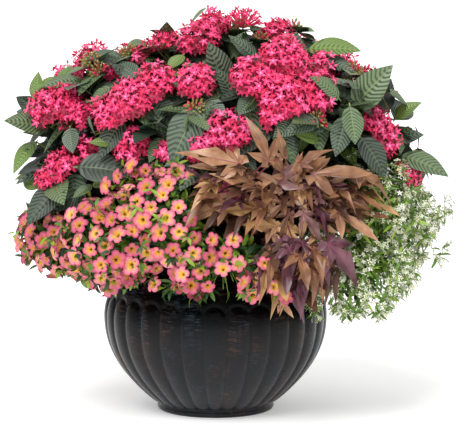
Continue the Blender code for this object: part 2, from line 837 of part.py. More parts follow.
def make_plants():
    stems = {kind: stem_path(plant) for kind, plant in PLANTS.items()}
    boughs = {kind: bough_paths(plant, MASSES[kind]) for kind, plant in PLANTS.items()}
    limbs = list(stems.values()) + [path for paths in boughs.values() for path in paths.values()]
    spaces = {}
    for kind, masses in MASSES.items():
        for name, values in masses.items():
            spaces[kind, name] = [millimetres(value) for value in values]
    bark = {
        "pentas": material("pentas_bark", (0.16, 0.13, 0.06), 0.7),
        "calibrachoa": material("calibrachoa_stem", (0.2, 0.26, 0.09), 0.6),
        "vine": material("vine_stem", (0.24, 0.13, 0.1), 0.5),
        "euphorbia": material("euphorbia_stem", (0.26, 0.36, 0.16), 0.6),
    }
    for kind, plant in PLANTS.items():
        foliage = material(kind + "_foliage", plant["colour"], 0.6)
        add_object(kind + "_stem", tube(stems[kind], STEM_SIDES), bark[kind])
        for name, bough in boughs[kind].items():
            add_object(kind + "_bough_" + name, tube(bough, LIMB_SIDES), bark[kind])
            centre, half = spaces[kind, name]
            others = [values for key, values in spaces.items() if key != (kind, name)]
            space = Space(centre, half, others, limbs)
            rng = random.Random(kind + name)
            grow_mass(kind + "_mass_" + name, kind, plant, space, bough, foliage, rng)


clear_scene()
make_pot()
make_potting_mix()
make_plants()
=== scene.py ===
# %% [markdown]
# # A planted pot, dressed leaf by leaf
# The frame holds one solid for each stem, bough and mass of foliage. This script keeps their places and
# reach. It swaps each solid for the real thing: barked stems, veined leaves and single flowers.

# %% Load the frame
import math
import random

import bpy
import numpy as np
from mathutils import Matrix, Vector


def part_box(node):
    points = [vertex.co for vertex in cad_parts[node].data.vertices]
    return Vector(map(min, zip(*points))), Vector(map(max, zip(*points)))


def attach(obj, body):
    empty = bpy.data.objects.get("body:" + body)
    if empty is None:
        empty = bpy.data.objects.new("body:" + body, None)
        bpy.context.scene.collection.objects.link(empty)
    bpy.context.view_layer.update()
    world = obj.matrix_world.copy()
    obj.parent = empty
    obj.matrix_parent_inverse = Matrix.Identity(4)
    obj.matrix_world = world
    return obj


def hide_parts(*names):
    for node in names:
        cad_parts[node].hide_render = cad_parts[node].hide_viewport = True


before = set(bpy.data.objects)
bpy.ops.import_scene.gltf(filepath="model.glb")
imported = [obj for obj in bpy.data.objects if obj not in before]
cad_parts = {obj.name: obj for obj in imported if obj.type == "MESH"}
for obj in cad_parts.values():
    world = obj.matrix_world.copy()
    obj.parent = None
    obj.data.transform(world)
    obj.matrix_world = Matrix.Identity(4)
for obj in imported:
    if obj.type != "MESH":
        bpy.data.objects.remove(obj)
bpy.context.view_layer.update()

# %% Shared measures
MM = 0.001
UP = Vector((0, 0, 1))
FRONT = Vector((0, -1, 0))
HEART = Vector((0, 0, 320)) * MM
GOLDEN_ANGLE = math.pi * (3 - math.sqrt(5))
KINDS = ("pentas", "calibrachoa", "vine", "euphorbia")
# The one source of random draws, seeded afresh before each step that uses it.
rng = random.Random()


def millimetres(*values):
    return Vector(values) * MM


def outward(point):
    """The way out from the heart of the plant, through a point."""
    return (point - HEART).normalized()


def open_side(point):
    """Which way the nearer open side of the plant lies, to the front or to the back."""
    return FRONT if point.y < 0 else -FRONT


# %% [markdown]
# ## The camera, the floor and the light
# The pot stands on a white sweep under soft light from all round. The camera is far off with a long lens,
# so upright lines stay upright. A broad sun from the upper left gives the leaves and ribs their form.

# %% Camera
CAMERA_PLACE = millimetres(23.6, -4200, 855)
CAMERA_TARGET = millimetres(23.6, 0, 316)
LENS = 203.8
SENSOR = 36.0


def turned_to(direction, axis):
    """The rotation that points an axis of an object in a direction, with Y upwards."""
    return direction.to_track_quat(axis, "Y").to_euler()


def add_object(name, data):
    made = bpy.data.objects.new(name, data)
    bpy.context.scene.collection.objects.link(made)
    return made


camera_data = bpy.data.cameras.new("camera")
camera_data.lens = LENS
camera_data.sensor_width = SENSOR
camera_data.sensor_fit = "HORIZONTAL"
camera = add_object("camera", camera_data)
camera.location = CAMERA_PLACE
camera.rotation_euler = turned_to(CAMERA_TARGET - CAMERA_PLACE, "-Z")
bpy.context.scene.camera = camera
bpy.context.scene.view_settings.view_transform = "Standard"
print("camera tilt", round(math.degrees(camera.rotation_euler.x) - 90, 2))


# %% Colours and finishes
def linear(code):
    """An sRGB hex colour as linear numbers."""
    channels = [int(code[i:i + 2], 16) / 255 for i in (1, 3, 5)]
    return tuple(c / 12.92 if c <= 0.04045 else ((c + 0.055) / 1.055) ** 2.4 for c in channels) + (1.0,)


class Finish:
    """A material made of nodes. Its methods from add_node down each add one and return its output."""

    def __init__(self, name):
        self.material = bpy.data.materials.new(name)
        self.material.use_nodes = True
        self.tree = self.material.node_tree

    def fill(self, node, inputs):
        """Give a node's inputs their values: a number, a colour code or another node's output each."""
        for key, value in inputs.items():
            if isinstance(value, bpy.types.NodeSocket):
                self.tree.links.new(value, node.inputs[key])
            else:
                node.inputs[key].default_value = linear(value) if isinstance(value, str) else value

    def skin(self, inputs):
        """Set the Principled shader, which is what the surface looks like."""
        self.fill(self.tree.nodes["Principled BSDF"], inputs)

    def add_node(self, kind, output, inputs=None, **settings):
        node = self.tree.nodes.new("ShaderNode" + kind)
        for key, value in settings.items():
            setattr(node, key, value)
        self.fill(node, inputs or {})
        return node.outputs[output]

    def noise(self, place, scale, detail, roughness=0.5):
        inputs = {"Vector": place, "Scale": scale, "Detail": detail, "Roughness": roughness}
        return self.add_node("TexNoise", "Fac", inputs)

    def remap(self, value, start, end, low=0.0, high=1.0):
        inputs = {"Value": value, "From Min": start, "From Max": end, "To Min": low, "To Max": high}
        return self.add_node("MapRange", "Result", inputs)

    def blend(self, share, first, second):
        return self.add_node("MixRGB", "Color", {"Fac": share, "Color1": first, "Color2": second})

    def bump(self, height, strength, distance):
        return self.add_node("Bump", "Normal", {"Height": height, "Strength": strength, "Distance": distance})


# %% Floor and light
FLOOR_SIZE = 80
SKY_STRENGTH = 0.82
# The sweep glows a little, as a light table does, so that it stays white behind and below the pot.
SWEEP_GLOW = 0.26
SUN_STRENGTH = 1.75
SUN_SPREAD = math.radians(28)
SUN_FROM = Vector((-0.25, -0.7, 1.0))

bpy.ops.object.select_all(action="DESELECT")
bpy.ops.mesh.primitive_plane_add(size=FLOOR_SIZE)
floor = bpy.context.object
floor.name = "floor"
sweep = Finish("white_sweep")
sweep.skin({"Base Color": "#fefefe", "Roughness": 0.9, "Emission Color": "#ffffff",
            "Emission Strength": SWEEP_GLOW})
floor.data.materials.append(sweep.material)

world = bpy.data.worlds.new("studio")
world.use_nodes = True
sky = world.node_tree.nodes["Background"]
sky.inputs["Color"].default_value = linear("#ffffff")
sky.inputs["Strength"].default_value = SKY_STRENGTH
bpy.context.scene.world = world

sun_data = bpy.data.lights.new("sun", "SUN")
sun_data.energy = SUN_STRENGTH
sun_data.angle = SUN_SPREAD
sun = add_object("sun", sun_data)
sun.rotation_euler = turned_to(SUN_FROM, "Z")
print("a sun of", SUN_STRENGTH, "under a sky of", SKY_STRENGTH)


# %% [markdown]
# ## Small shapes, copied many times
# A plant has thousands of leaves and florets. Each kind is drawn once as a small mesh of a few dozen faces.
# It is kept as arrays, placed again and again, and joined into one piece. Each face has a zone, such as
# throat or rim, and each copy has a tint, so that colour follows the plant and needs no picture.

# %% Shapes and copies
def present(piece, nodes=()):
    """Tell the frame that a piece rides the root, and hide the nodes that it stands for."""
    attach(piece, "root")
    if nodes:
        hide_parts(*nodes)


class Shape:
    """A small mesh kept as arrays: points, the corners of its faces, and each face's zone."""

    def __init__(self, points, faces, zones=None):
        self.points = np.array([tuple(point) for point in points], float)
        self.corners = np.concatenate([np.array(face) for face in faces])
        self.totals = np.array([len(face) for face in faces])
        self.zones = np.array(zones or [0] * len(faces))


class Copies:
    """Copies of small shapes, joined into one piece of several finishes."""

    def __init__(self, name, finishes, zones=1):
        self.name = name
        self.finishes = finishes
        self.zones = zones
        self.parts = []
        self.count = 0

    def place(self, shape, points, tint=0):
        self.parts.append((points, shape.corners + self.count, shape.totals, shape.zones + tint * self.zones))
        self.count += len(points)

    def put(self, shape, origin, along, face, size, tint=0, width=1.0):
        """One copy: its x axis lies along and its z axis faces out. Its width is a share of its size."""
        turned = np.array((along * size, face.cross(along) * (size * width), face * size))
        self.place(shape, shape.points @ turned + np.array(origin), tint)

    def join(self, slot, nodes=()):
        points, corners, totals, finish_numbers = (np.concatenate(part) for part in zip(*self.parts))
        mesh = bpy.data.meshes.new(self.name)
        mesh.vertices.add(self.count)
        mesh.vertices.foreach_set("co", points.astype(np.float32).ravel())
        mesh.loops.add(len(corners))
        mesh.loops.foreach_set("vertex_index", corners.astype(np.int32))
        mesh.polygons.add(len(totals))
        mesh.polygons.foreach_set("loop_start", (np.cumsum(totals) - totals).astype(np.int32))
        mesh.polygons.foreach_set("material_index", finish_numbers.astype(np.int32))
        mesh.update(calc_edges=True)
        mesh.shade_smooth()
        for finish in self.finishes:
            mesh.materials.append(finish)
        piece = add_object(self.name, mesh)
        present(piece, nodes)
        print(self.name, len(self.parts), "copies,", int((totals - 2).sum()), "triangles")
        return piece


# %% Directions and curves
def frame_of(direction):
    """Two unit vectors square to a direction."""
    side = direction.cross(UP)
    if side.length < 1e-3:
        side = Vector((1, 0, 0))
    side.normalize()
    return side, side.cross(direction).normalized()


def around(axis, angle):
    """The direction square to an axis, at an angle round it."""
    across, beside = frame_of(axis)
    return across * math.cos(angle) + beside * math.sin(angle)


def random_side(axis):
    """Any direction square to an axis."""
    return around(axis, rng.uniform(0, math.tau))


def leaf_frame(direction, lean):
    """The directions along a leaf and out of its upper face."""
    along = direction.normalized()
    across = along.cross(UP + lean)
    if across.length < 1e-3:
        across = along.orthogonal()
    return along, across.normalized().cross(along).normalized()


def curve_between(start, control, end, steps):
    """Points on a curve that leaves start towards control and arrives from it."""
    points = []
    for i in range(steps + 1):
        t = i / steps
        points.append(start * (1 - t) ** 2 + control * 2 * t * (1 - t) + end * t * t)
    return points


def arc(start, end, steps, share=0.5, lift=0):
    """A curve whose control point is a share of the way along, lifted by some millimetres."""
    return curve_between(start, start.lerp(end, share) + UP * lift * MM, end, steps)


def jitter(amount):
    return Vector([rng.uniform(-amount, amount) for _ in range(3)])


# %% Points and faces
def polar(radius, angle, height):
    return radius * math.cos(angle), radius * math.sin(angle), height


def ring_faces(low, high, count):
    """Faces between two rings of points whose numbers start at low and high."""
    return [(low + i, high + i, high + (i + 1) % count, low + (i + 1) % count) for i in range(count)]


def fan_faces(middle, first, count):
    """Faces from a point to the ring of points whose numbers start at first."""
    return [(middle, first + i, first + (i + 1) % count) for i in range(count)]


def tube(path, radii, sides, relief=None):
    """A closed tube along a path. Relief gives the radius a factor by angle and place along it."""
    points = []
    for i, centre in enumerate(path):
        before, after = path[max(i - 1, 0)], path[min(i + 1, len(path) - 1)]
        across, beside = frame_of((after - before).normalized())
        for step in range(sides):
            angle = math.tau * step / sides
            radius = radii[i] * (relief(angle, i) if relief else 1.0)
            points.append(centre + (across * math.cos(angle) + beside * math.sin(angle)) * radius)
    faces = []
    for low in range(0, len(points) - sides, sides):
        faces += ring_faces(low, low + sides, sides)
    faces.append(tuple(range(sides)))
    faces.append(tuple(reversed(range(len(points) - sides, len(points)))))
    return Shape(points, faces)


def add_twig(twigs, path, first, last, sides=4, tint=0):
    """A thin tube among the twigs that tapers from one radius to another, in millimetres."""
    steps = len(path) - 1
    shape = tube(path, [(first + (last - first) * i / steps) * MM for i in range(steps + 1)], sides)
    twigs.place(shape, shape.points, tint)


# %% [markdown]
# ## The pot
# The real pot is cast resin, finished like old cast iron: a turned body with thirty convex ribs that end in
# arches under a plain shoulder. A profile is drawn once and spun round the axis, which gives an even wall.
# The ribs are then raised by a formula of angle and height, so their arches line up all round.

# %% Measures of the pot
FOOT_RADIUS = 93 * MM
FOOT_HEIGHT = 9.6 * MM
FOOT_FLARE = 2.5 * MM
BELLY_RADIUS = 179.7 * MM
BELLY_HEIGHT = 157 * MM
BELLY_FULLNESS = 2.2
NECK_RADIUS = 149 * MM
NECK_HEIGHT = 238 * MM
NECK_FADE = 6 * MM
SHOULDER_FULLNESS = 1.7
SHOULDER_PROUD = 3.5 * MM
SHOULDER_ROLL = 9 * MM
LIP_RADIUS = 6.5 * MM
LIP_PROUD = 2 * MM
RIM_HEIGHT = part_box("pot")[1].z
WALL = 6 * MM
SOIL_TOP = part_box("potting_mix")[1].z
GADROONS = 30
GADROON_DEPTH = 5 * MM
GADROON_ROUNDNESS = 0.6
GADROON_TOP = 192 * MM
ARCH_HEIGHT = 24 * MM
RIB_ANGLE = math.tau / GADROONS
RIB_FADE = 6 * MM
RIB_COLUMNS = 14
print("rim at", round(RIM_HEIGHT / MM, 1), "mm, soil at", round(SOIL_TOP / MM, 1), "mm")


def pot_radius(z):
    """The smooth body's outer radius at a height."""
    if z < FOOT_HEIGHT:
        return FOOT_RADIUS + FOOT_FLARE * math.sin(math.pi * z / FOOT_HEIGHT)
    if z < BELLY_HEIGHT:
        left = 1 - (z - FOOT_HEIGHT) / (BELLY_HEIGHT - FOOT_HEIGHT)
        return FOOT_RADIUS + (BELLY_RADIUS - FOOT_RADIUS) * (1 - left ** BELLY_FULLNESS)
    up = min(1, (z - BELLY_HEIGHT) / (NECK_HEIGHT - BELLY_HEIGHT))
    return BELLY_RADIUS - (BELLY_RADIUS - NECK_RADIUS) * up ** SHOULDER_FULLNESS


def gadroon_relief(angle, z):
    """How far the ribbed surface stands proud of the groove's bottom, at an angle from a rib's middle."""
    half_width = RIB_ANGLE / 2 * pot_radius(min(z, GADROON_TOP))
    rise = max(0.0, z - (GADROON_TOP - half_width))
    off_middle = math.hypot(abs(angle) * pot_radius(z), rise)
    if off_middle < half_width:
        return GADROON_DEPTH * (1 - (off_middle / half_width) ** 2) ** GADROON_ROUNDNESS
    if rise == 0.0:
        return 0.0
    roll = min(1.0, (off_middle - half_width) / SHOULDER_ROLL)
    return SHOULDER_PROUD * roll * (2 - roll)


# %% The pot's profile, spun
def pot_profile():
    """(radius, height) pairs from the middle of the base, up the outside, over the lip and down inside."""
    arches = GADROON_TOP - ARCH_HEIGHT
    heights = [FOOT_HEIGHT * i / 4 for i in range(5)]
    heights += [FOOT_HEIGHT + (arches - FOOT_HEIGHT) * i / 30 for i in range(1, 30)]
    heights += [arches + (NECK_HEIGHT - arches) * i / 35 for i in range(36)]
    profile = [(0.0, 0.0)] + [(pot_radius(z), z) for z in heights]
    for turn in range(170, 0, -17):
        angle = math.radians(turn)
        profile.append((NECK_RADIUS - LIP_RADIUS / 2 + LIP_PROUD - LIP_RADIUS * math.cos(angle),
                        RIM_HEIGHT - LIP_RADIUS + LIP_RADIUS * math.sin(angle)))
    inner_base = SOIL_TOP - 20 * MM
    profile += [(pot_radius(z) - WALL, z) for z in (NECK_HEIGHT, SOIL_TOP, inner_base)]
    return profile + [(0.0, inner_base)]


def spin_profile(name, profile, columns):
    """A profile in the XZ plane, spun once round the Z axis by the spin operator."""
    mesh = bpy.data.meshes.new(name)
    mesh.from_pydata([(x, 0, z) for x, z in profile], [(i, i + 1) for i in range(len(profile) - 1)], [])
    piece = add_object(name, mesh)
    bpy.ops.object.select_all(action="DESELECT")
    piece.select_set(True)
    bpy.context.view_layer.objects.active = piece
    bpy.ops.object.mode_set(mode="EDIT")
    bpy.ops.mesh.select_all(action="SELECT")
    bpy.ops.mesh.spin(steps=columns, angle=math.tau, center=(0, 0, 0), axis=(0, 0, 1))
    bpy.ops.mesh.select_all(action="SELECT")
    bpy.ops.mesh.remove_doubles(threshold=0.00001)
    bpy.ops.mesh.normals_make_consistent(inside=False)
    bpy.ops.object.mode_set(mode="OBJECT")
    bpy.ops.object.shade_smooth()
    return piece


pot = spin_profile("gadrooned_pot", pot_profile(), GADROONS * RIB_COLUMNS)
for vert in pot.data.vertices:
    x, y, z = vert.co
    radius = math.hypot(x, y)
    if radius > pot_radius(z) - WALL / 2 and FOOT_HEIGHT < z < NECK_HEIGHT:
        off_rib = (math.atan2(x, -y) + RIB_ANGLE / 2) % RIB_ANGLE - RIB_ANGLE / 2
        fade = min(1.0, (z - FOOT_HEIGHT) / RIB_FADE)
        wanted = radius - GADROON_DEPTH / 2 + fade * gadroon_relief(off_rib, z)
        grown = 1 + (wanted / radius - 1) * min(1.0, (NECK_HEIGHT - z) / NECK_FADE)
        vert.co.x *= grown
        vert.co.y *= grown
print("pot:", len(pot.data.polygons), "faces")

# %% [markdown]
# The resin's black skin is brushed level, so its flecks are stretched round the pot. Copper and slate show
# through it where it is rubbed. The top is painted near-black as shade under the foliage, and the lower half
# greyer as a painted reflection of the white floor; the top also reflects less.

# %% Brushed black resin
# How fine the flecks and the rubbed patches are, round the pot and upright.
FLECK_SCALE = (70, 70, 520)
PATCH_SCALE = (30, 30, 7)
FLECK_COLOURS = ((0.42, "#2d3a45"), (0.6, "#4b3327"))

resin = Finish("brushed_black_resin")
place = resin.add_node("TexCoord", "Object")
height = resin.add_node("SeparateXYZ", "Z", {"Vector": place})
streaks = resin.noise(resin.add_node("Mapping", "Vector", {"Vector": place, "Scale": FLECK_SCALE}), 1, 5, 0.7)
patches = resin.noise(resin.add_node("Mapping", "Vector", {"Vector": place, "Scale": PATCH_SCALE}), 1, 3, 0.6)
blotches = resin.noise(place, 14, 3, 0.6)
flecks = resin.add_node("ValToRGB", "Color", {"Fac": blotches})
for element, (position, colour) in zip(flecks.node.color_ramp.elements, FLECK_COLOURS):
    element.position = position
    element.color = linear(colour)
worn = resin.add_node("Math", "Value", {0: resin.remap(streaks, 0.5, 0.62),
                                        1: resin.remap(patches, 0.48, 0.62, 0.08)}, operation="MULTIPLY")
# Painted shade and reflection: near-black at the top under the foliage, greyer below where the white floor
# shows in it.
black = resin.blend(resin.remap(height, 0.18, 0.09), "#040405", "#1e1f22")
resin.skin({
    "Base Color": resin.blend(worn, black, flecks),
    "Roughness": resin.remap(blotches, 0.3, 0.7, 0.2, 0.34),
    "Specular IOR Level": resin.remap(height, 0.19, 0.13, 0.06, 0.2),
    "Normal": resin.bump(streaks, 0.25, 0.6 * MM),
})
pot.data.materials.append(resin.material)
present(pot, ["pot"])

# %% [markdown]
# ## The potting mix
# Damp peat and bark fines fill the pot to just under its lip. It shows only between the stems, so it is one
# disc, spun like the pot, whose top is roughened point by point.

# %% Potting mix
MIX_DEPTH = 18 * MM
MIX_RINGS = 26
MIX_COLUMNS = 72
MIX_HOLLOW = 2.4 * MM
MIX_LUMP = 0.9 * MM
MIX_SKIN = 1.0 * MM
mix_edge = pot_radius(SOIL_TOP) - WALL - 0.6 * MM
mix_low = SOIL_TOP - MIX_DEPTH
mix_top = SOIL_TOP - MIX_SKIN
mix_profile = [(0.0, mix_low), (mix_edge, mix_low), (mix_edge, mix_top)]
mix_profile += [(mix_edge * (1 - ring / MIX_RINGS), mix_top) for ring in range(1, MIX_RINGS)]
potting_mix = spin_profile("peat_and_bark_mix", mix_profile + [(0.0, mix_top)], MIX_COLUMNS)
rng.seed("potting mix")
for vert in potting_mix.data.vertices:
    if vert.co.z > mix_low + MIX_SKIN and math.hypot(vert.co.x, vert.co.y) < mix_edge - MIX_SKIN:
        vert.co.z += rng.uniform(-MIX_HOLLOW, MIX_LUMP)

peat = Finish("damp_peat")
crumbs = peat.noise(peat.add_node("TexCoord", "Object"), 260, 4)
peat.skin({"Base Color": peat.blend(crumbs, "#1d150f", "#4a3828"), "Normal": peat.bump(crumbs, 0.8, 2 * MM),
           "Roughness": 0.95})
potting_mix.data.materials.append(peat.material)
present(potting_mix, ["potting_mix"])
print("potting mix:", len(potting_mix.data.polygons), "faces")

# %% [markdown]
# ## Finishes of the living parts
# A leaf is a waxed skin over pulp, and a petal is a dull velvet. Each tint is a finish of its own, with a
# little cloudiness so that no leaf is flat. What has a place, such as a vein or a throat, is its own faces.

# %% Finishes of leaves, petals and bark
def living(name, colour, other, roughness, grain, relief=0.0, velvet=0.0):
    """A leaf, petal or bark that drifts between two colours. Its grain and relief are in millimetres."""
    finish = Finish(name)
    cloud = finish.noise(finish.add_node("TexCoord", "Object"), 1 / (grain * MM), 2)
    finish.skin({"Base Color": finish.blend(finish.remap(cloud, 0.35, 0.65), colour, other),
                 "Roughness": roughness, "Sheen Weight": velvet})
    if relief:
        finish.skin({"Normal": finish.bump(cloud, 0.6, relief * MM)})
    return finish.material


bark = {
    "pentas": living("pentas_bark", "#6d6a3a", "#4c4a2c", 0.75, 5, 0.5),
    "calibrachoa": living("calibrachoa_bark", "#6c7a38", "#54602c", 0.65, 4, 0.3),
    "vine": living("vine_bark", "#6b4038", "#4f2f2c", 0.55, 5, 0.3),
    "euphorbia": living("euphorbia_bark", "#76893f", "#5a6d33", 0.6, 4, 0.3),
}


# %% [markdown]
# ## Stems and boughs
# The frame's own stems and boughs give the paths. Their solids are rings of a few points, so the middle of
# each ring is a point of the path. Each limb is drawn again as a round tube whose skin has long ridges.

# %% Read the limbs from the frame
STEM_SIDES = 18
LIMB_SIDES = 6
BARK_SIDES = 20
BARK_STEP = 2.5 * MM


def limb_path(node, sides, start):
    """The ring centres and radii of a tube in the frame, from the end nearest a start point."""
    corners = {tuple(round(value, 6) for value in vert.co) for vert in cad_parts[node].data.vertices}
    points = sorted((Vector(corner) for corner in corners), key=lambda point: (point - start).length)
    path = []
    for i in range(0, len(points) - sides + 1, sides):
        ring = points[i:i + sides]
        centre = sum(ring, Vector()) / sides
        path.append((centre, sum((point - centre).length for point in ring) / sides))
    return path


def smooth_path(path, step):
    """A path of (point, radius) pairs filled in by a curve through them, about a step apart."""
    points = [point for point, _ in path]
    points = [points[0] * 2 - points[1]] + points + [points[-1] * 2 - points[-2]]
    filled = []
    for i in range(1, len(points) - 2):
        count = max(1, round((points[i + 1] - points[i]).length / step))
        first, last = path[i - 1][1], path[i][1]
        for j in range(count):
            t = j / count
            a, b, c, d = points[i - 1:i + 3]
            place = (b * 2 + (c - a) * t + (a * 2 - b * 5 + c * 4 - d) * t * t
                     + (b * 3 - a - c * 3 + d) * t * t * t) / 2
            filled.append((place, first + (last - first) * t))
    return filled + [path[-1]]


def bark_ridges():
    """Long ridges and small knots, as a factor on a limb's radius."""
    phases = [rng.uniform(0, math.tau) for _ in range(3)]
    return lambda angle, i: (1 + 0.05 * math.sin(5 * angle + phases[0] + i * 0.07)
                             + 0.03 * math.sin(9 * angle + phases[1] - i * 0.13)
                             + 0.04 * max(0.0, math.sin(i * 0.5 + phases[2])) ** 8)


limbs = {}
for kind in KINDS:
    stem = kind + "_stem"
    low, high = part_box(stem)
    foot = Vector(((low.x + high.x) / 2, (low.y + high.y) / 2, low.z))
    limbs[stem] = limb_path(stem, STEM_SIDES, foot - UP)
    nodes = sorted(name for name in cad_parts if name.startswith(kind + "_bough_"))
    for name in nodes:
        limbs[name] = limb_path(name, LIMB_SIDES, Vector((foot.x, foot.y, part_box(name)[0].z)))
    wood = Copies(kind + "_limbs", [bark[kind]])
    rng.seed(kind + " bark")
    for name in [stem] + nodes:
        points, radii = zip(*smooth_path(limbs[name], BARK_STEP))
        shape = tube(points, radii, BARK_SIDES, bark_ridges())
        wood.place(shape, shape.points)
    wood.join(stem, [stem] + nodes)


# %% [markdown]
# ## The room each mass of foliage has
# The masses keep the centres and half sizes that their solids were grown from. A mass may fill its
# ellipsoid, on its own side of the planes between it and its neighbours. The planes lie nearer the smaller
# of two masses. Nothing grows into the pot.

# %% The masses
# The centre and half sizes of each mass, in millimetres.
MASS_ROOM = {
    "pentas": {
        "left": ((-218, -26, 496), (100, 104, 72)), "left_low": ((-218, -62, 400), (96, 92, 66)),
        "front_left": ((-124, -104, 486), (94, 92, 88)), "front": ((-14, -112, 464), (92, 94, 98)),
        "front_right": ((104, -102, 516), (96, 96, 92)), "top_left": ((-64, -16, 562), (98, 92, 66)),
        "top_right": ((84, 2, 568), (98, 94, 62)), "top_back": ((2, 98, 536), (100, 88, 74)),
        "right": ((216, -44, 482), (108, 100, 92)), "right_low": ((268, 0, 402), (86, 94, 66)),
        "back_left": ((-142, 134, 476), (126, 118, 108)),
        "back_right": ((150, 140, 480), (126, 118, 106)), "back": ((2, 182, 366), (122, 96, 100)),
    },
    "calibrachoa": {
        "left": ((-240, -46, 290), (78, 80, 62)), "front_left": ((-166, -146, 292), (82, 72, 72)),
        "front": ((-74, -176, 340), (88, 68, 78)), "front_low": ((12, -200, 270), (92, 52, 62)),
        "back_left": ((-182, 122, 318), (96, 88, 82)),
    },
    "vine": {
        "centre": ((42, -196, 378), (122, 84, 84)), "right": ((176, -180, 376), (112, 92, 84)),
        "low": ((124, -206, 280), (108, 66, 78)),
    },
    "euphorbia": {
        "front": ((236, -104, 338), (84, 84, 78)), "right": ((288, -8, 306), (68, 80, 66)),
        "low": ((224, -124, 248), (88, 74, 66)), "back_right": ((196, 118, 320), (96, 86, 82)),
    },
}
MASSES = {kind + "_mass_" + side: room for kind, sides in MASS_ROOM.items() for side, room in sides.items()}
LEAF_ROOM = 14 * MM
POT_MARGIN = 4 * MM


class Space:
    """What a mass may fill: its ellipsoid, cut back to its own side of the planes between masses."""

    def __init__(self, node):
        self.centre, self.half = (millimetres(*values) for values in MASSES[node])
        self.planes = []
        own_weight = (sum(self.half) / 3) ** 2
        for other, values in MASSES.items():
            if other != node:
                centre, half = (millimetres(*value) for value in values)
                between = centre - self.centre
                weight = (sum(half) / 3) ** 2
                distance = (between.length_squared + own_weight - weight) / (2 * between.length)
                self.planes.append((between.normalized(), distance))

    def own_side(self, point, slack=0.0):
        offset = point - self.centre
        return all(offset.dot(normal) < distance + slack for normal, distance in self.planes)

    def depth(self, point):
        """How far out a point is: 0 at the centre and 1 on the ellipsoid."""
        return Vector(a / b for a, b in zip(point - self.centre, self.half)).length

    def holds(self, point, slack=0.0):
        scaled = Vector(a / (b + LEAF_ROOM) for a, b in zip(point - self.centre, self.half))
        return scaled.length < 1 and self.own_side(point, slack) and clear_of_pot(point)


def clear_of_pot(point):
    outside = math.hypot(point.x, point.y) > pot_radius(max(point.z, 0)) + POT_MARGIN
    return point.z > RIM_HEIGHT + POT_MARGIN or outside


spaces = {name: Space(name) for name in MASSES}
masses = {kind: [name for name in MASSES if name.startswith(kind)] for kind in KINDS}
print({kind: len(names) for kind, names in masses.items()}, "masses")


def nearest_mass(kind, point):
    """The mass of a kind whose ellipsoid a point lies nearest to the middle of."""
    return spaces[min(masses[kind], key=lambda name: spaces[name].depth(point))]


# %% [markdown]
# Twigs fan out evenly from the end of a bough. The golden angle spreads them so that no two line up. Each
# is tried at its full reach and drawn in until its end lies in its own mass's room.

# %% Twigs in a mass
REACH_STEP = 0.06
LEAST_REACH = 0.3


def twig_directions(space, count, least):
    """Directions spread evenly over a sphere, but for its inner side, turned by a seeded start."""
    away = outward(space.centre)
    turn = rng.uniform(0, math.tau)
    directions = []
    for i in range(count):
        z = 1 - 2 * (i + 0.5) / count
        direction = Vector(polar(math.sqrt(1 - z * z), turn + i * GOLDEN_ANGLE, z))
        if direction.dot(away) > least:
            directions.append(direction)
    return directions


def twig_ends(space, count, least, shortest, longest):
    """Each twig's end, the furthest point that the mass may use within a random reach, and that reach."""
    for direction in twig_directions(space, count, least):
        step = Vector(a * b for a, b in zip(direction, space.half))
        reach = share = rng.uniform(shortest, longest)
        while share > LEAST_REACH:
            end = space.centre + step * share
            if space.holds(end) and space.holds(space.centre + step * share * 0.8):
                yield end, reach
                break
            share -= REACH_STEP


def bough_of(mass):
    return limbs[mass.replace("_mass_", "_bough_")]


def grow_stalk(twigs, mass, taper, sides):
    """A stalk from the end of a mass's bough to its middle."""
    tip, radius = bough_of(mass)[-1]
    add_twig(twigs, arc(tip, spaces[mass].centre, 4), radius / MM, radius / MM * taper, sides)


# %% [markdown]
# ## The leaf of the pentas
# A pentas leaf is a pointed oval, quilted between ten pairs of veins that sweep towards its tip. A flat grid
# becomes one if its rows follow the veins: every second row is a vein and lies low, and the rows between
# are pushed up. One slope of each ridge gets a paler green, a painted highlight, and the other keeps the
# leaf's dark green, which is how a quilted leaf looks from afar. The strip down the middle is the midrib.

# %% Leaf from a grid
# A leaf's zones: its own dark green, its midrib, and a paler green that is a painted highlight on one slope
# of each ridge.
DARK, MIDRIB, PAINTED_HIGHLIGHT = range(3)


def grid_leaf(rows, strips, width_at, sweep, relief, fold, droop, stalk):
    """A leaf of unit length along +X, from a grid whose rows follow its veins."""
    bpy.ops.object.select_all(action="DESELECT")
    bpy.ops.mesh.primitive_grid_add(x_subdivisions=rows, y_subdivisions=strips, size=1)
    grid = bpy.context.object
    points = []
    for vert in grid.data.vertices:
        s = (vert.co.x + 0.5) * (1 + stalk) - stalk
        v = abs(vert.co.y * 2) ** 2.2 if relief else abs(vert.co.y * 2)
        swept = s + sweep * v ** 1.6 * min(1, max(0, s) / 0.15) * max(0, 1 - s) ** 0.7
        wide = width_at(max(0, swept)) if s > 0 else 0.02
        row = round((vert.co.x + 0.5) * rows)
        quilt = relief * 4 * v * (1.08 - v) if row % 2 and 0.02 < s < 0.95 else 0
        height = quilt + wide * (fold * v - 0.08 * v * v) - droop * max(0, swept) ** 2
        points.append((swept, math.copysign(v * wide, vert.co.y), height))
    faces = [tuple(face.vertices) for face in grid.data.polygons]
    zones = []
    for face in grid.data.polygons:
        on_midrib = abs(face.center.y) < 0.4 / strips or (face.center.x + 0.5) * (1 + stalk) < stalk
        # Every second row of faces gets the paler green, a painted highlight on one slope of each ridge.
        on_painted_highlight_slope = int((face.center.x + 0.5) * rows) % 2
        zones.append(DARK if not relief else MIDRIB if on_midrib else PAINTED_HIGHLIGHT if on_painted_highlight_slope else DARK)
    bpy.data.objects.remove(grid, do_unlink=True)
    return Shape(points, faces, zones)


def pentas_width(s):
    """Half the width of a pentas leaf of unit length, which is widest before its middle."""
    return 0.012 + 1.02 * max(0, s) ** 0.76 * max(0, 1 - s) ** 1.08


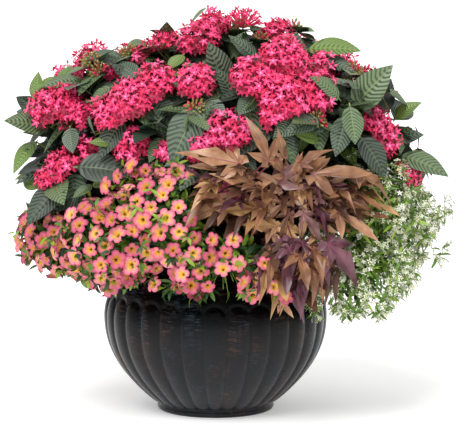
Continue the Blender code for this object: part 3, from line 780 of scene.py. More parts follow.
pentas_leaves = [grid_leaf(24, 5, pentas_width, 0.28, 0.014, 0.2, droop, 0.1) for droop in (0.08, 0.2, 0.36)]
pentas_inner_leaf = grid_leaf(7, 4, pentas_width, 0.2, 0.0, 0.2, 0.25, 0.1)
print("a pentas leaf has", len(pentas_leaves[0].totals), "faces, and an inner one",
      len(pentas_inner_leaf.totals))

# %% [markdown]
# ## The flower of the pentas
# Each floret is a five-pointed star, about 19 mm across, on a thin tube. Its petals are lance-shaped, curl
# back a little, and are paler at the heart. A dome of some dozens of them makes a head. Florets that are
# yet to open are clubs of the same pink.

# %% Floret and bud
PETALS = 5


def flower_tube(low, sides, wide, top, narrow, bottom):
    """The points of a flower's tapering tube, numbered from low, and its faces."""
    points, faces = [], []
    for i in range(sides):
        angle = math.tau * i / sides
        points += [polar(wide, angle, top), polar(narrow, angle, bottom)]
        here, beside = low + 2 * i, low + 2 * ((i + 1) % sides)
        faces.append((here, here + 1, beside + 1, beside))
    return points, faces


def star_floret(curl, spread, tube_length=1.6, tube_radius=0.1):
    """A star of five petals of unit radius that faces +Z, with its pale heart as zone 1."""
    points = [(0, 0, -0.12)]
    count = PETALS * 4
    for i in range(count):
        reach, dip = ((1.0, curl), (0.7, curl * 0.2), (0.38, 0.1), (0.7, curl * 0.2))[i % 4]
        points.append(polar(reach * spread, math.tau * i / count, -dip))
    heart = tuple(range(len(points), len(points) + PETALS))
    points += [polar(0.2, math.tau * i / PETALS, -0.03) for i in range(PETALS)]
    tube_points, tube_faces = flower_tube(len(points), 3, tube_radius, -0.05, tube_radius * 0.7, -tube_length)
    faces = fan_faces(0, 1, count) + [heart] + tube_faces
    return Shape(points + tube_points, faces, [0] * count + [1] + [0] * len(tube_faces))


def club_bud(sides=5):
    """An unopened floret of unit length along +Z, a club on a thin tube."""
    points, faces = [], []
    for radius, height in ((0.05, -0.5), (0.06, 0.35), (0.17, 0.62), (0.15, 0.85)):
        points += [polar(radius, math.tau * i / sides, height) for i in range(sides)]
    top = len(points) - sides
    for low in range(0, top, sides):
        faces += ring_faces(low + sides, low, sides)
    return Shape(points + [(0, 0, 1.0)], faces + fan_faces(len(points), top, sides))


florets = [star_floret(0.1, 1.0), star_floret(0.35, 0.95), star_floret(-0.3, 0.9)]
long_floret = star_floret(-0.35, 0.62, 2.7, 0.16)
bud = club_bud()
print("a floret has", len(florets[0].totals), "faces, and a bud", len(bud.totals))


# %% [markdown]
# A pentas leaf is a deep, dull green, paler on its midrib, and one slope of each ridge gets a paler green,
# a painted highlight. So a tint is three finishes, one to a zone. The petals are a strong pink with a paler
# heart, two finishes to a tint.

# %% Finishes of the pentas
def living_set(kind, rows, *settings):
    """Finishes of one kind and sort, from rows of a name and two colours."""
    return [living(kind + "_" + name, colour, other, *settings) for name, colour, other in rows]


pentas_green = []
# Each tint: the leaf's dark green, its midrib, and a paler green that is a painted highlight.
for tint, dark, midrib, pale in (
        ("dark", "#3b4a3c", "#7a8a62", "#63735f"), ("mid", "#45583a", "#84955c", "#6d815c"),
        ("young", "#557032", "#94a658", "#758e46"), ("deep", "#28332a", "#66734f", "#4d594b")):
    pentas_green += [living("pentas_leaf_" + tint, dark, dark, 0.4, 9),
                     living("pentas_midrib_" + tint, midrib, midrib, 0.5, 9),
                     living("pentas_ridge_" + tint, pale, pale, 0.4, 9)]
pentas_pink = living_set("pentas", (
    ("petal_rose", "#f02167", "#fb4284"), ("heart_rose", "#fb7ea8", "#f973a0"),
    ("petal_crimson", "#dc104e", "#ee2969"), ("heart_crimson", "#f05b8c", "#ec5284"),
    ("petal_pink", "#ff5d9b", "#fb4687"), ("heart_pink", "#ffa7c7", "#fc99bd"),
    # The last tint, a dark crimson, is painted shade for the inner layer and sides of a head.
    ("petal_painted_shade", "#9c0a36", "#b81244"), ("heart_painted_shade", "#b83a64", "#b83a64")), 0.55, 12, 0, 0.15)
pentas_foliage = {
    "shown": Copies("pentas_outer_leaves", pentas_green, 3),
    "hidden": Copies("pentas_inner_leaves", pentas_green, 3),
}
pentas_blossom = Copies("pentas_florets", pentas_pink, 2)
bud_green = living("pentas_bud_green", "#8fa14a", "#a86a52", 0.55, 4)
pentas_buds = Copies("pentas_buds", [pentas_pink[2], bud_green])
pentas_twigs = Copies("pentas_twigs", [living("pentas_twig_green", "#7d9440", "#65802f", 0.5, 8),
                                       living("pentas_twig_brown", "#5e4a2c", "#4b4528", 0.6, 8)])

# %% [markdown]
# ## Growing the pentas
# The masses grow by one rule. Twigs leave the bough's end, turned by the golden angle, and each bears pairs
# of leaves, every pair square to the last. A leaf that would leave its space, or sit in a flower head, is
# skipped. Heads have a listed place each, with a ruff of leaves below.

# %% Flower heads and large leaves, listed
# Centre and radius of each head, in millimetres.
HEADS = (
    (-276, -62, 497, 31), (-243, -70, 515, 30), (-224, -80, 490, 29), (-220, -100, 432, 26),
    (-248, -104, 411, 24), (-270, -98, 390, 21), (-170, -140, 500, 30), (-135, -152, 523, 35),
    (-98, -140, 549, 31), (-31, -146, 552, 30), (-9, -10, 634, 28), (-29, -34, 608, 33),
    (-137, -146, 451, 28), (21, -188, 480, 35), (-15, -190, 455, 29), (-77, -170, 441, 14),
    (61, -156, 558, 34), (114, -120, 588, 36), (111, -160, 530, 42), (161, -140, 538, 34),
    (98, -176, 499, 25), (177, -36, 571, 25), (257, -76, 480, 27), (275, -66, 454, 27), (313, -58, 394, 23),
    (103, 16, 618, 25), (-164, -56, 558, 16), (-127, -40, 580, 13), (-60, 84, 576, 32), (60, 92, 578, 34),
    (-190, 182, 500, 38), (-104, 196, 540, 36), (-232, 110, 452, 32), (146, 196, 532, 38),
    (214, 144, 500, 34), (90, 214, 474, 32), (-16, 244, 424, 36), (-76, 236, 366, 28), (76, 240, 372, 30),
    (300, 52, 404, 28), (-146, 214, 446, 30), (-160, 204, 518, 28), (-76, 210, 520, 26),
    (178, 184, 514, 28), (236, 118, 480, 26), (60, 228, 456, 26), (-46, 240, 446, 28), (-30, 68, 588, 24),
    (104, 72, 578, 26), (-252, 80, 436, 26), (298, 82, 424, 24), (-262, 20, 520, 28), (-244, 40, 540, 24),
    (266, 30, 520, 28), (250, 4, 540, 24), (-210, 60, 570, 26), (200, 90, 572, 26), (0, 190, 560, 30),
    (30, 176, 562, 24),
)
# Heads that have just opened, whose long tubes still show.
OPEN_HEADS = ((-89, -14, 606, 33), (46, -8, 643, 33), (-150, 120, 574, 30), (150, 104, 590, 30))
# Centres of the heads in bud.
BUD_HEADS = (
    (-203, -50, 580), (-189, -66, 566), (-140, -26, 592), (-116, -14, 590), (27, 16, 626), (129, 40, 628),
    (75, -6, 612), (-32, -176, 514), (227, -40, 564), (164, -160, 496), (10, 150, 590), (-210, 150, 540),
    (232, 60, 530),
)
# Large leaves on the outside: x, y and z of the base, x and z of the tip, in millimetres, and the tint.
PENTAS_LEAVES = (
    (-26, -178, 504, -69, 440, 0), (-215, -136, 410, -142, 415, 3), (-242, -104, 380, -296, 332, 3),
    (-143, -132, 484, -182, 443, 3), (-264, -52, 464, -327, 481, 1), (-287, -46, 441, -324, 412, 2),
    (-140, -32, 568, -196, 586, 0), (17, -98, 525, -5, 598, 0), (-102, -136, 508, -51, 490, 0),
    (-106, 8, 594, -134, 606, 1), (-44, 14, 621, -20, 653, 1), (-209, -26, 535, -268, 541, 1),
    (-31, -172, 425, -75, 419, 0), (220, -110, 502, 261, 561, 1), (210, -162, 508, 218, 458, 1),
    (203, -156, 491, 191, 441, 0), (297, -50, 420, 366, 403, 1), (149, -10, 587, 222, 599, 2),
    (165, -30, 573, 218, 560, 0), (194, -142, 518, 168, 556, 1), (162, -162, 488, 116, 478, 0),
    (63, -154, 525, 39, 501, 0), (228, -132, 456, 270, 413, 3), (94, -162, 479, 120, 440, 0),
    (293, -36, 459, 301, 436, 1), (124, 40, 612, 154, 622, 1), (-15, -154, 517, 14, 501, 0),
    (-230, -96, 468, -225, 436, 0), (-189, -114, 459, -198, 488, 0), (161, -156, 455, 132, 470, 2),
    (33, -76, 571, 46, 601, 0), (132, -164, 487, 95, 468, 0),
)
LEAF_FORWARD = 30
LEAF_STRETCH = 1.08
LEAF_CLEARANCE = 15 * MM
BUD_HEAD_ROOM = 13 * MM
HEAD_VIEW = 60 * MM
ALONG_LEAF = (0.35, 0.65, 0.95)
ALONG_RUFF_LEAF = (0.4, 0.7, 0.95)

large_leaves = [(millimetres(x, y, z), millimetres(tip_x, y - LEAF_FORWARD, tip_z), tint)
                for x, y, z, tip_x, tip_z, tint in PENTAS_LEAVES]
heads = [(millimetres(x, y, z), radius * MM) for x, y, z, radius in HEADS + OPEN_HEADS]
bud_heads = [(millimetres(*place), BUD_HEAD_ROOM) for place in BUD_HEADS]


def clear_of_heads(point, margin=0.95):
    """Whether a point is neither in a flower head nor just outside or before it, where it would hide it."""
    for centre, radius in heads + bud_heads:
        offset = point - centre
        if offset.length > radius + HEAD_VIEW:
            continue
        for way in (outward(centre), open_side(centre)):
            outside = min(max(0.0, offset.dot(way)), HEAD_VIEW)
            if (offset - way * outside).length < radius * margin:
                return False
    return True


def leaf_is_clear(root, along, shares):
    return all(clear_of_heads(root + along * share) for share in shares)


def clear_of_leaves(point):
    """Whether a point is away from the listed large leaves, which no floret may poke through."""
    for base, tip, _ in large_leaves:
        along = tip - base
        share = min(1.0, max(0.0, (point - base).dot(along) / along.length_squared))
        if (point - base - along * share).length < LEAF_CLEARANCE:
            return False
    return True


# %% [markdown]
# A head is a dome with its florets spaced as evenly as the seeds of a sunflower, so the golden angle places
# them too. A second, deeper layer closes the gaps, and a few lumps keep the dome from being a ball. The
# florets of the inner layer and of the dome's sides get crimson and dark crimson, as painted shade.

# %% Heads of florets and buds
FLORET_RADIUS = 9.5 * MM
FLORET_ROOM = 64 * MM * MM
BUD_LENGTH = 11 * MM
HEAD_SPAN = math.radians(112)
# Beyond this tilt from a head's axis, florets take the crimson tints of painted shade.
SHADED_HEAD_SIDE = 1.5
# Share of the radius and crowding of the florets in a head's outer and inner layer.
HEAD_LAYERS = ((1.0, 1.2), (0.8, 0.9))
RUFF_TWIGS = 9
OPEN_SPAN = 1.25
BUD_SPAN = 1.5
BUDS = 34


def head_axis(centre):
    """A head looks outwards and up."""
    return (outward(centre) + UP * 0.3).normalized()


def dome(axis, count, span, turn=0.0):
    """Directions spread by the golden angle from an axis out to a span, each with its tilt."""
    for i in range(count):
        tilt = span * math.sqrt((i + 0.5) / count)
        aside = around(axis, turn + i * GOLDEN_ANGLE)
        yield tilt, (axis * math.cos(tilt) + aside * math.sin(tilt)).normalized()


def put_bud(place, out, length=BUD_LENGTH, tint=0):
    pentas_buds.put(bud, place, around(out, 0), out, length, tint)


def head_stalk(base, first, last, steps=5, lift=0):
    """A stalk from the nearest mass to the base of a head. Gives that mass."""
    space = nearest_mass("pentas", base)
    add_twig(pentas_twigs, arc(space.centre, base, steps, 0.5, lift), first, last, 5)
    return space


def grow_head(centre, radius):
    """A lumpy dome of florets round a centre in two layers, on a stalk from the nearest mass."""
    axis = head_axis(centre)
    base = centre - axis * radius * 0.75
    turn = rng.uniform(0, math.tau)
    lumps = [(jitter(1.0).normalized(), rng.uniform(0.06, 0.22)) for _ in range(5)]
    for layer, (share, density) in enumerate(HEAD_LAYERS):
        count = round(math.pi * radius * radius * density / FLORET_ROOM)
        for i, (tilt, out) in enumerate(dome(axis, count, HEAD_SPAN, turn)):
            swell = 1 + sum(size * max(0.0, out.dot(way)) ** 3 for way, size in lumps)
            place = centre + out * radius * share * swell * rng.uniform(0.84, 1.02) - axis * radius * 0.28
            facing = ((place - base).normalized() + axis * 0.15 + jitter(0.4)).normalized()
            # The inner layer and the dome's sides take only crimson and dark crimson, as painted shade.
            tint = rng.choice((1, 3) if layer or tilt > SHADED_HEAD_SIDE else (0, 0, 1, 2, 2))
            size = FLORET_RADIUS * rng.uniform(0.84, 1.14)
            if clear_of_leaves(place):
                pentas_blossom.put(rng.choice(florets), place, random_side(facing), facing, size, tint)
                if i % 4 == 0 and layer == 0:
                    side = (place - base).normalized()
                    put_bud(place + jitter(4 * MM) - side * 6 * MM, side)
    space = head_stalk(base, 2.4, 1.5, 6, 8)
    for i in range(RUFF_TWIGS):
        out = (axis + around(axis, i * math.tau / RUFF_TWIGS) * rng.uniform(0.5, 1.1)).normalized()
        add_twig(pentas_twigs, [base, base + out * radius * 0.62], 1.1, 0.6, 3)
    return base, axis, space


def grow_open_head(centre, radius):
    """Long florets that stand out from one point, with buds between them."""
    axis = head_axis(centre)
    base = centre - axis * radius * 0.7
    for _, out in dome(axis, BUDS, OPEN_SPAN):
        place = base + out * radius * rng.uniform(0.8, 1.15)
        pentas_blossom.put(long_floret, place, random_side(out), out, FLORET_RADIUS, rng.choice((0, 1, 1)))
        put_bud(base + out * radius * 0.25, out, tint=rng.choice((0, 1, 1)))
    return base, axis, head_stalk(base, 2.2, 1.5)


def grow_bud_head(centre):
    """A green cluster whose buds have yet to colour."""
    axis = head_axis(centre)
    base = centre - axis * 14 * MM
    for _, out in dome(axis, BUDS, BUD_SPAN):
        length = BUD_LENGTH * rng.uniform(0.8, 1.2)
        start = base + out * rng.uniform(6, 10) * MM
        put_bud(start, out, length, rng.choice((1, 1, 1, 0)))
        add_twig(pentas_twigs, [base, start], 0.8, 0.6, 3)
    return base, axis, head_stalk(base, 2.2, 1.4)


# %% [markdown]
# The pairs of leaves lean outwards and to the nearer open side, so that they show their faces. Leaves deep
# in a mass only close the view, and have a plainer shape with far fewer faces.

# %% Leaves along twigs
PENTAS_TWIGS = 23
PENTAS_LEAF = 84 * MM
# The place on its twig and the size of each pair of leaves.
LEAF_PAIRS = ((3, 1.0), (4, 1.0), (6, 0.8), (6, 0.5))
OUTER_DEPTH = 0.72
BOUGH_LEAVES = 6
BOUGH_STEP = 18 * MM
LOWEST_BOUGH_LEAF = 262 * MM


def put_pentas_leaf(base, direction, lean, length, space, tint=None, place=None):
    """One leaf, detailed on the outside of the plant and plain inside it."""
    along, face = leaf_frame(direction, lean)
    if tint is None:
        tint = rng.choice((0, 0, 3, 1))
    if place is None:
        place = "shown" if space.depth(base + along * length * 0.6) > OUTER_DEPTH else "hidden"
    shape = rng.choice(pentas_leaves) if place == "shown" else pentas_inner_leaf
    pentas_foliage[place].put(shape, base, along, face, length, tint, rng.uniform(0.9, 1.08))


def grow_pentas_mass(name):
    """Twigs from the bough's end, each with pairs of leaves, and plain leaves along the bough."""
    space = spaces[name]
    tip, radius = bough_of(name)[-1]
    arriving = (tip - bough_of(name)[-2][0]).normalized()
    stem = curve_between(tip, tip + arriving * (space.centre - tip).length * 0.5, space.centre, 6)
    add_twig(pentas_twigs, stem, radius / MM, radius / MM * 0.7, 8, 1)
    bend = outward(space.centre) * 6 * MM
    for end, _ in twig_ends(space, PENTAS_TWIGS, -0.62, 0.62, 0.84):
        start = stem[rng.randrange(3, 7)]
        path = curve_between(start, (start + end) / 2 - UP * 6 * MM + bend, end, 6)
        add_twig(pentas_twigs, path, 2.0, 1.2, 4, 1)
        axis = (path[-1] - path[-3]).normalized()
        turn = rng.uniform(0, math.pi)
        for pair, (place, size) in enumerate(LEAF_PAIRS):
            for side in (0, math.pi):
                direction = (around(axis, turn + pair * math.pi / 2 + side + rng.uniform(-0.3, 0.3))
                             + axis * rng.uniform(0.2, 0.7) - UP * rng.uniform(0.0, 0.35))
                length = PENTAS_LEAF * size * rng.uniform(0.85, 1.15)
                along = direction.normalized() * length
                if space.holds(path[place] + along, 4 * MM) and leaf_is_clear(path[place], along, ALONG_LEAF):
                    tint = rng.choice((1, 2)) if size < 0.6 else None
                    put_pentas_leaf(path[place], direction, outward(end) * 0.9 + open_side(end) * 0.7, length,
                                    space, tint)
    bough = [point for point, _ in smooth_path(bough_of(name), BOUGH_STEP)]
    for i in range(1, len(bough)):
        axis = (bough[i] - bough[i - 1]).normalized()
        for side in range(BOUGH_LEAVES):
            direction = (around(axis, i * math.pi / 2 + side * math.tau / BOUGH_LEAVES)
                         + axis * rng.uniform(0.1, 0.9))
            length = PENTAS_LEAF * rng.uniform(0.9, 1.2)
            if bough[i].z > LOWEST_BOUGH_LEAF and clear_of_heads(bough[i] + direction.normalized() * length):
                put_pentas_leaf(bough[i], direction, UP, length, space, 0, "hidden")


# %% Grow the pentas
rng.seed("pentas")
for number, (centre, radius) in enumerate(heads):
    grow = grow_head if number < len(HEADS) else grow_open_head
    base, axis, space = grow(centre, radius)
    turn = rng.uniform(0, math.tau)
    for i in range(4):
        direction = around(axis, turn + i * math.pi / 2) + axis * rng.uniform(-0.3, 0.3) - UP * 0.15
        root = base - axis * rng.uniform(2, 14) * MM
        length = PENTAS_LEAF * rng.uniform(0.75, 1.05)
        if leaf_is_clear(root, direction.normalized() * length, ALONG_RUFF_LEAF):
            put_pentas_leaf(root, direction, axis, length, space)
for centre, _ in bud_heads:
    base, axis, space = grow_bud_head(centre)
    for i in range(3):
        direction = around(axis, i * math.tau / 3) + axis * 0.3
        put_pentas_leaf(base - axis * 4 * MM, direction, axis, PENTAS_LEAF * 0.7, space, 1)
for base, tip, tint in large_leaves:
    space = nearest_mass("pentas", base)
    length = (tip - base).length * LEAF_STRETCH
    put_pentas_leaf(base, tip - base, outward(base) + FRONT * 1.3, length, space, tint, "shown")
    add_twig(pentas_twigs, arc(space.centre, base, 5, 0.6), 2, 1.3)
for name in masses["pentas"]:
    grow_pentas_mass(name)

quilted = pentas_foliage["shown"].join("pentas_leaf", masses["pentas"])
quilted.data.shade_flat()
for copies in (pentas_foliage["hidden"], pentas_blossom, pentas_buds):
    copies.join("pentas_leaf")
pentas_twigs.join("pentas_stem")

# %% [markdown]
# ## The calibrachoa
# A calibrachoa flower is a small petunia: a funnel with five blunt lobes, about 29 mm across. From the
# middle out it is ochre-brown, yellow, peach and rose, so the funnel is made in rings of faces, each ring a
# zone. Flowers cover the mound about a flower apart, and face out and up.

# %% Funnel flower
LOBE_STEPS = 4
FUNNEL_SIDES = PETALS * LOBE_STEPS
FUNNEL_ZONES = ("throat", "yellow", "peach", "rose", "rim")
# Radius and height of each ring, and the shares of the radius at a notch and at a lobe's shoulder.
FUNNEL_RINGS = ((0.13, -0.3, 1.0, 1.0), (0.38, -0.1, 0.8, 0.88), (0.62, 0.02, 0.64, 0.8),
                (0.84, 0.06, 0.7, 0.93), (1.0, 0.0, 0.7, 0.94))


def funnel_flower(ruffle, flare):
    """A five-lobed funnel of unit radius that faces +Z. Its zones are its rings, and then its tube."""
    points = [(0, 0, -0.6)]
    faces = fan_faces(0, 1, FUNNEL_SIDES)
    for radius, height, notch, shoulder in FUNNEL_RINGS:
        for i in range(FUNNEL_SIDES):
            reach, lean, wave = ((notch, 0, 0.16), (shoulder, -0.05, 0.0), (1.0, 0, -0.06),
                                 (shoulder, 0.05, 0.0))[i % LOBE_STEPS]
            points.append(polar(radius * reach, math.tau * i / FUNNEL_SIDES + lean * radius,
                                height + (ruffle * wave + flare) * radius * radius))
    tube_points, tube_faces = flower_tube(len(points), PETALS, 0.2, -0.2, 0.09, -1.15)
    for low in range(1, len(points) - FUNNEL_SIDES, FUNNEL_SIDES):
        faces += ring_faces(low, low + FUNNEL_SIDES, FUNNEL_SIDES)
    zones = [zone for zone in range(len(FUNNEL_RINGS)) for _ in range(FUNNEL_SIDES)]
    return Shape(points + tube_points, faces + tube_faces, zones + [len(FUNNEL_RINGS)] * PETALS)


funnels = [funnel_flower(*shape) for shape in ((0.6, 0.0), (1.0, -0.14), (0.8, 0.12), (0.4, 0.3))]


def narrow_width(s):
    """Half the width of a small oval leaf of unit length."""
    return 0.02 + 0.5 * max(0, s) ** 0.7 * max(0, 1 - s) ** 0.8


small_leaf = grid_leaf(4, 2, narrow_width, 0.1, 0.0, 0.3, 0.3, 0.08)
print("a funnel flower has", len(funnels[0].totals), "faces, and a small leaf", len(small_leaf.totals))

# %% Finishes of the calibrachoa
calibrachoa_petals = []
for tint, colours in (("salmon", ("#8a4c12", "#eab42a", "#e6985e", "#e47a88", "#d65074")),
                      ("rose", ("#6a3410", "#d39620", "#d07e58", "#cf607a", "#bc3e66")),
                      ("peach", ("#a86618", "#f4ca3c", "#f0b274", "#ec9096", "#e06686"))):
    for zone, colour in zip(FUNNEL_ZONES, colours):
        calibrachoa_petals.append(living("calibrachoa_" + zone + "_" + tint, colour, colour, 0.6, 6, 0, 0.2))
    calibrachoa_petals.append(living("calibrachoa_tube_" + tint, "#c98a72", "#b87a50", 0.6, 6))
calibrachoa_greens = living_set("calibrachoa_leaf", (
    ("bright", "#93ae36", "#7a982c"), ("green", "#5f8230", "#4c6e26"),
    ("deep", "#2f5226", "#26451f")), 0.5, 8)
calibrachoa_blossom = Copies("calibrachoa_flowers", calibrachoa_petals, len(FUNNEL_ZONES) + 1)
calibrachoa_foliage = Copies("calibrachoa_leaves", calibrachoa_greens)
calibrachoa_twigs = Copies("calibrachoa_twigs", [calibrachoa_greens[0]])

# %% [markdown]
# Calibrachoa is a rounded mound with flowers all over its skin. Directions are tried evenly from the middle
# of each mass, and a place that is too near another flower is dropped, which spaces them as in life.

# %% Places of the flowers
FUNNEL_RADIUS = 15 * MM
FUNNEL_SPACING = 23 * MM
FLOWER_CLEARANCE = 6 * MM
CALIBRACHOA_TRIES = 900
MELT = 1.4
MOUND_STEP = 0.04
MOST_REACH = 1.3
INSIDE_SISTER = 0.86
LOWEST_FUNNEL = 226 * MM
NOTCH = millimetres(17, -205, 236)
NOTCH_RADIUS = 25 * MM
NOTCH_FRONT = -130 * MM
# Flowers on longer shoots, in millimetres: some climb into the leaves above, and some hang over the rim.
CALIBRACHOA_STRAYS = (
    (-131, -186, 418), (-108, -190, 410), (-84, -194, 405), (-60, -198, 410), (-36, -200, 402),
    (-14, -204, 396), (8, -206, 392), (-152, -178, 400), (-170, -166, 384), (30, -208, 384),
    (-57, -200, 231), (-31, -204, 221), (-43, -204, 251), (-14, -206, 238), (45, -228, 253),
    (59, -228, 220), (93, -240, 236), (110, -240, 219), (77, -240, 272), (-298, -60, 330), (-306, -44, 300),
    (-96, -190, 233), (-137, -180, 239), (-166, -165, 223),
)


def hidden_in_others(name, point):
    """Whether a point lies inside a sister mass, or across the plane to a mass of another kind."""
    if any(spaces[other].depth(point) < INSIDE_SISTER for other in masses["calibrachoa"] if other != name):
        return True
    nearest = min(MASSES, key=lambda other: spaces[other].depth(point))
    return not nearest.startswith("calibrachoa")


def in_notch(point):
    """Whether a point stands before the notch in the mound, where the pot's shoulder shows."""
    return point.y < NOTCH_FRONT and math.hypot(point.x - NOTCH.x, point.z - NOTCH.z) < NOTCH_RADIUS


def mound_reach(space, step):
    """How far out the mound goes along a step: its masses melt together where they meet."""
    share = 1.0
    while share < MOST_REACH:
        place = space.centre + step * share
        depths = [spaces[name].depth(place) for name in masses["calibrachoa"]]
        if sum(max(0.0, 1 - (depth / MELT) ** 2) ** 2 for depth in depths) < (1 - 1 / MELT ** 2) ** 2:
            break
        share += MOUND_STEP
    return share


def mound_points():
    """Points on the outside of the mound, none too near another, with the way each faces and its mass."""
    kept = []
    for name in masses["calibrachoa"]:
        space = spaces[name]
        for direction in twig_directions(space, CALIBRACHOA_TRIES, -0.45):
            step = Vector(a * b for a, b in zip(direction, space.half))
            place = space.centre + step * mound_reach(space, step) * rng.uniform(0.86, 1.03)
            if (place.z < LOWEST_FUNNEL or in_notch(place) or not clear_of_pot(place - UP * 4 * MM)
                    or hidden_in_others(name, place)
                    or any((place - other).length < FUNNEL_SPACING for other, *_ in kept)):
                continue
            kept.append((place, Vector(a / b for a, b in zip(direction, space.half)).normalized(), space))
    return kept


rng.seed("calibrachoa")
flowers = mound_points()
for stray in CALIBRACHOA_STRAYS:
    place = millimetres(*stray)
    flowers.append((place, Vector((place.x, place.y, 0)).normalized(), nearest_mass("calibrachoa", place)))
flower_centres = np.array([tuple(place) for place, *_ in flowers])
print(len(flowers), "calibrachoa flowers")


def clear_of_flowers(point):
    near = np.min(np.linalg.norm(flower_centres - np.array(point), axis=1)) < FLOWER_CLEARANCE
    return not near and not in_notch(point)


# %% [markdown]
# Behind each flower a thin stem with small leaves runs back into the mound. Some also bear a leafy shoot
# that comes up beside the flower, so that green shows between the flowers. One helper draws every sprig.

# %% Grow the calibrachoa
CALIBRACHOA_LEAF = 24 * MM
CALIBRACHOA_TWIGS = 64
SHOOT_SHARE = 0.4


def leafy_sprig(foliage, twigs, path, radius, count, length, is_clear=None, slim=0.9):
    """A thin stem with small leaves set round it by the golden angle, if their tips are clear."""
    add_twig(twigs, path, radius, radius * 0.6, 3)
    turn = rng.uniform(0, math.tau)
    for i in range(count):
        t = 0.35 + 0.65 * (i + 1) / count
        index = min(len(path) - 1, round(t * (len(path) - 1)))
        before = path[max(0, index - 1)]
        axis = (path[index] - before).normalized()
        root = before.lerp(path[index], rng.random())
        along, face = leaf_frame(around(axis, turn + i * GOLDEN_ANGLE) + axis * rng.uniform(0.4, 1.1), axis)
        size = length * rng.uniform(0.7, 1.15)
        tint = rng.randrange(len(foliage.finishes))
        if is_clear is None or is_clear(root + along * size * 0.8):
            foliage.put(small_leaf, root, along, face, size, tint, slim)


def calibrachoa_sprig(path, radius, count, length=CALIBRACHOA_LEAF, is_clear=clear_of_flowers):
    """A sprig with a radius in millimetres and so many leaves."""
    leafy_sprig(calibrachoa_foliage, calibrachoa_twigs, path, radius, count, length, is_clear)


for place, normal, space in flowers:
    facing = (normal * 0.8 + outward(place) * 0.4 + UP * 0.25 + jitter(0.6)).normalized()
    size = FUNNEL_RADIUS * rng.uniform(0.78, 1.14)
    calibrachoa_blossom.put(rng.choice(funnels), place, random_side(facing), facing, size, rng.randrange(3))
    back = place - facing * size * 1.6
    calibrachoa_sprig(arc(space.centre.lerp(back, 0.45), back, 4, 0.6, 5), 0.9, 7)
    if rng.random() < SHOOT_SHARE:
        beside = place + random_side(normal) * FUNNEL_SPACING * 0.62 + normal * 5 * MM
        if clear_of_pot(beside) and not in_notch(beside):
            calibrachoa_sprig(arc(back, beside, 4), 0.8, 8, CALIBRACHOA_LEAF * 0.7, None)
for name in masses["calibrachoa"]:
    grow_stalk(calibrachoa_twigs, name, 0.6, 6)
    for end, _ in twig_ends(spaces[name], CALIBRACHOA_TWIGS, -0.6, 0.7, 0.86):
        calibrachoa_sprig(arc(spaces[name].centre.lerp(end, 0.15), end, 5, 0.6, 8), 1.0, 9)

calibrachoa_blossom.join("calibrachoa_petal", masses["calibrachoa"])
calibrachoa_foliage.join("calibrachoa_petal")
calibrachoa_twigs.join("calibrachoa_stem")

# %% [markdown]
# ## The trailing vine
# The bronze plant is an ornamental sweet potato vine. Its leaf is a hand of pointed lobes that hang from a
# stalk. It is drawn as rings round the stalk's end, whose outline runs out along each lobe. The reddish
# veins are raised strips along the lobes.

# %% Lobed leaf
# Shares of a lobe's length and half width round its edge, and which way the margin waves there.
LOBE_EDGE = ((0.22, -0.55, 0.0), (0.42, -1.0, 1.0), (0.7, -0.62, -1.0), (1.0, 0.0, 0.4), (0.7, 0.62, 1.0),
             (0.42, 1.0, -1.0), (0.22, 0.55, 0.0))
LEAF_RINGS = (0.45, 0.75, 1.0)
VEIN_STEPS = 5


def in_direction(along, beside, turn):
    """A point so far along a direction and to its left."""
    return (along * math.cos(turn) - beside * math.sin(turn),
            along * math.sin(turn) + beside * math.cos(turn))


def hand_leaf(side_length, low_length, width, droop, side_droop, fold, ripple):
    """A leaf of unit length along +X, of five lobes: one ahead, one to each side and a short one behind each
    of those. Zone 1 is its veins."""
    lobes = ((-1.9, low_length, 0.9), (-0.9, side_length, width * 1.3), (0.0, 1.0, width),
             (0.9, side_length * 0.85, width * 1.3), (1.9, low_length * 0.9, 0.9))
    ring = []
    for (turn, length, wide), (next_turn, next_length, _) in zip(lobes, lobes[1:] + lobes[:1]):
        for share, side, wave in LOBE_EDGE:
            beside = side * wide / 2 * length
            ring.append((*in_direction(share * length, beside, turn),
                         fold * abs(beside) + wave * ripple * length))
        notch = 0.16 * min(length, next_length) + 0.05
        ring.append(polar(notch, (turn + next_turn) / 2, 0.0) if next_turn > turn else (-0.02, 0.0, 0.0))
    points = [(0.0, 0.0, 0.0)]
    for share in LEAF_RINGS:
        for x, y, z in ring:
            sag = droop * x * x + side_droop * y * y
            points.append((x * share, y * share, z * share - sag * share * share))
    count = len(ring)
    faces = fan_faces(0, 1, count)
    for low in (1, 1 + count):
        faces += ring_faces(low, low + count, count)
    blade = len(faces)
    for turn, length, _ in lobes:
        for i in range(VEIN_STEPS + 1):
            half = 0.011 * (1 - i / VEIN_STEPS) + 0.002
            for side in (-half, half):
                x, y = in_direction(length * 0.93 * i / VEIN_STEPS, side, turn)
                points.append((x, y, 0.006 - droop * x * x - side_droop * y * y))
            if i:
                last = len(points) - 1
                faces.append((last - 3, last - 1, last, last - 2))
    return Shape(points, faces, [0] * blade + [1] * (len(faces) - blade))


hand_leaves = [
    hand_leaf(0.56, 0.22, 0.31, 0.2, 0.7, 0.5, 0.04),
    hand_leaf(0.44, 0.2, 0.27, 0.45, 0.3, 0.7, -0.05),
    hand_leaf(0.4, 0.18, 0.33, -0.2, 1.0, 0.6, 0.06),
    hand_leaf(0.6, 0.26, 0.35, 0.55, 0.5, 0.5, -0.04),
]
print("a vine leaf has", len(hand_leaves[0].totals), "faces")
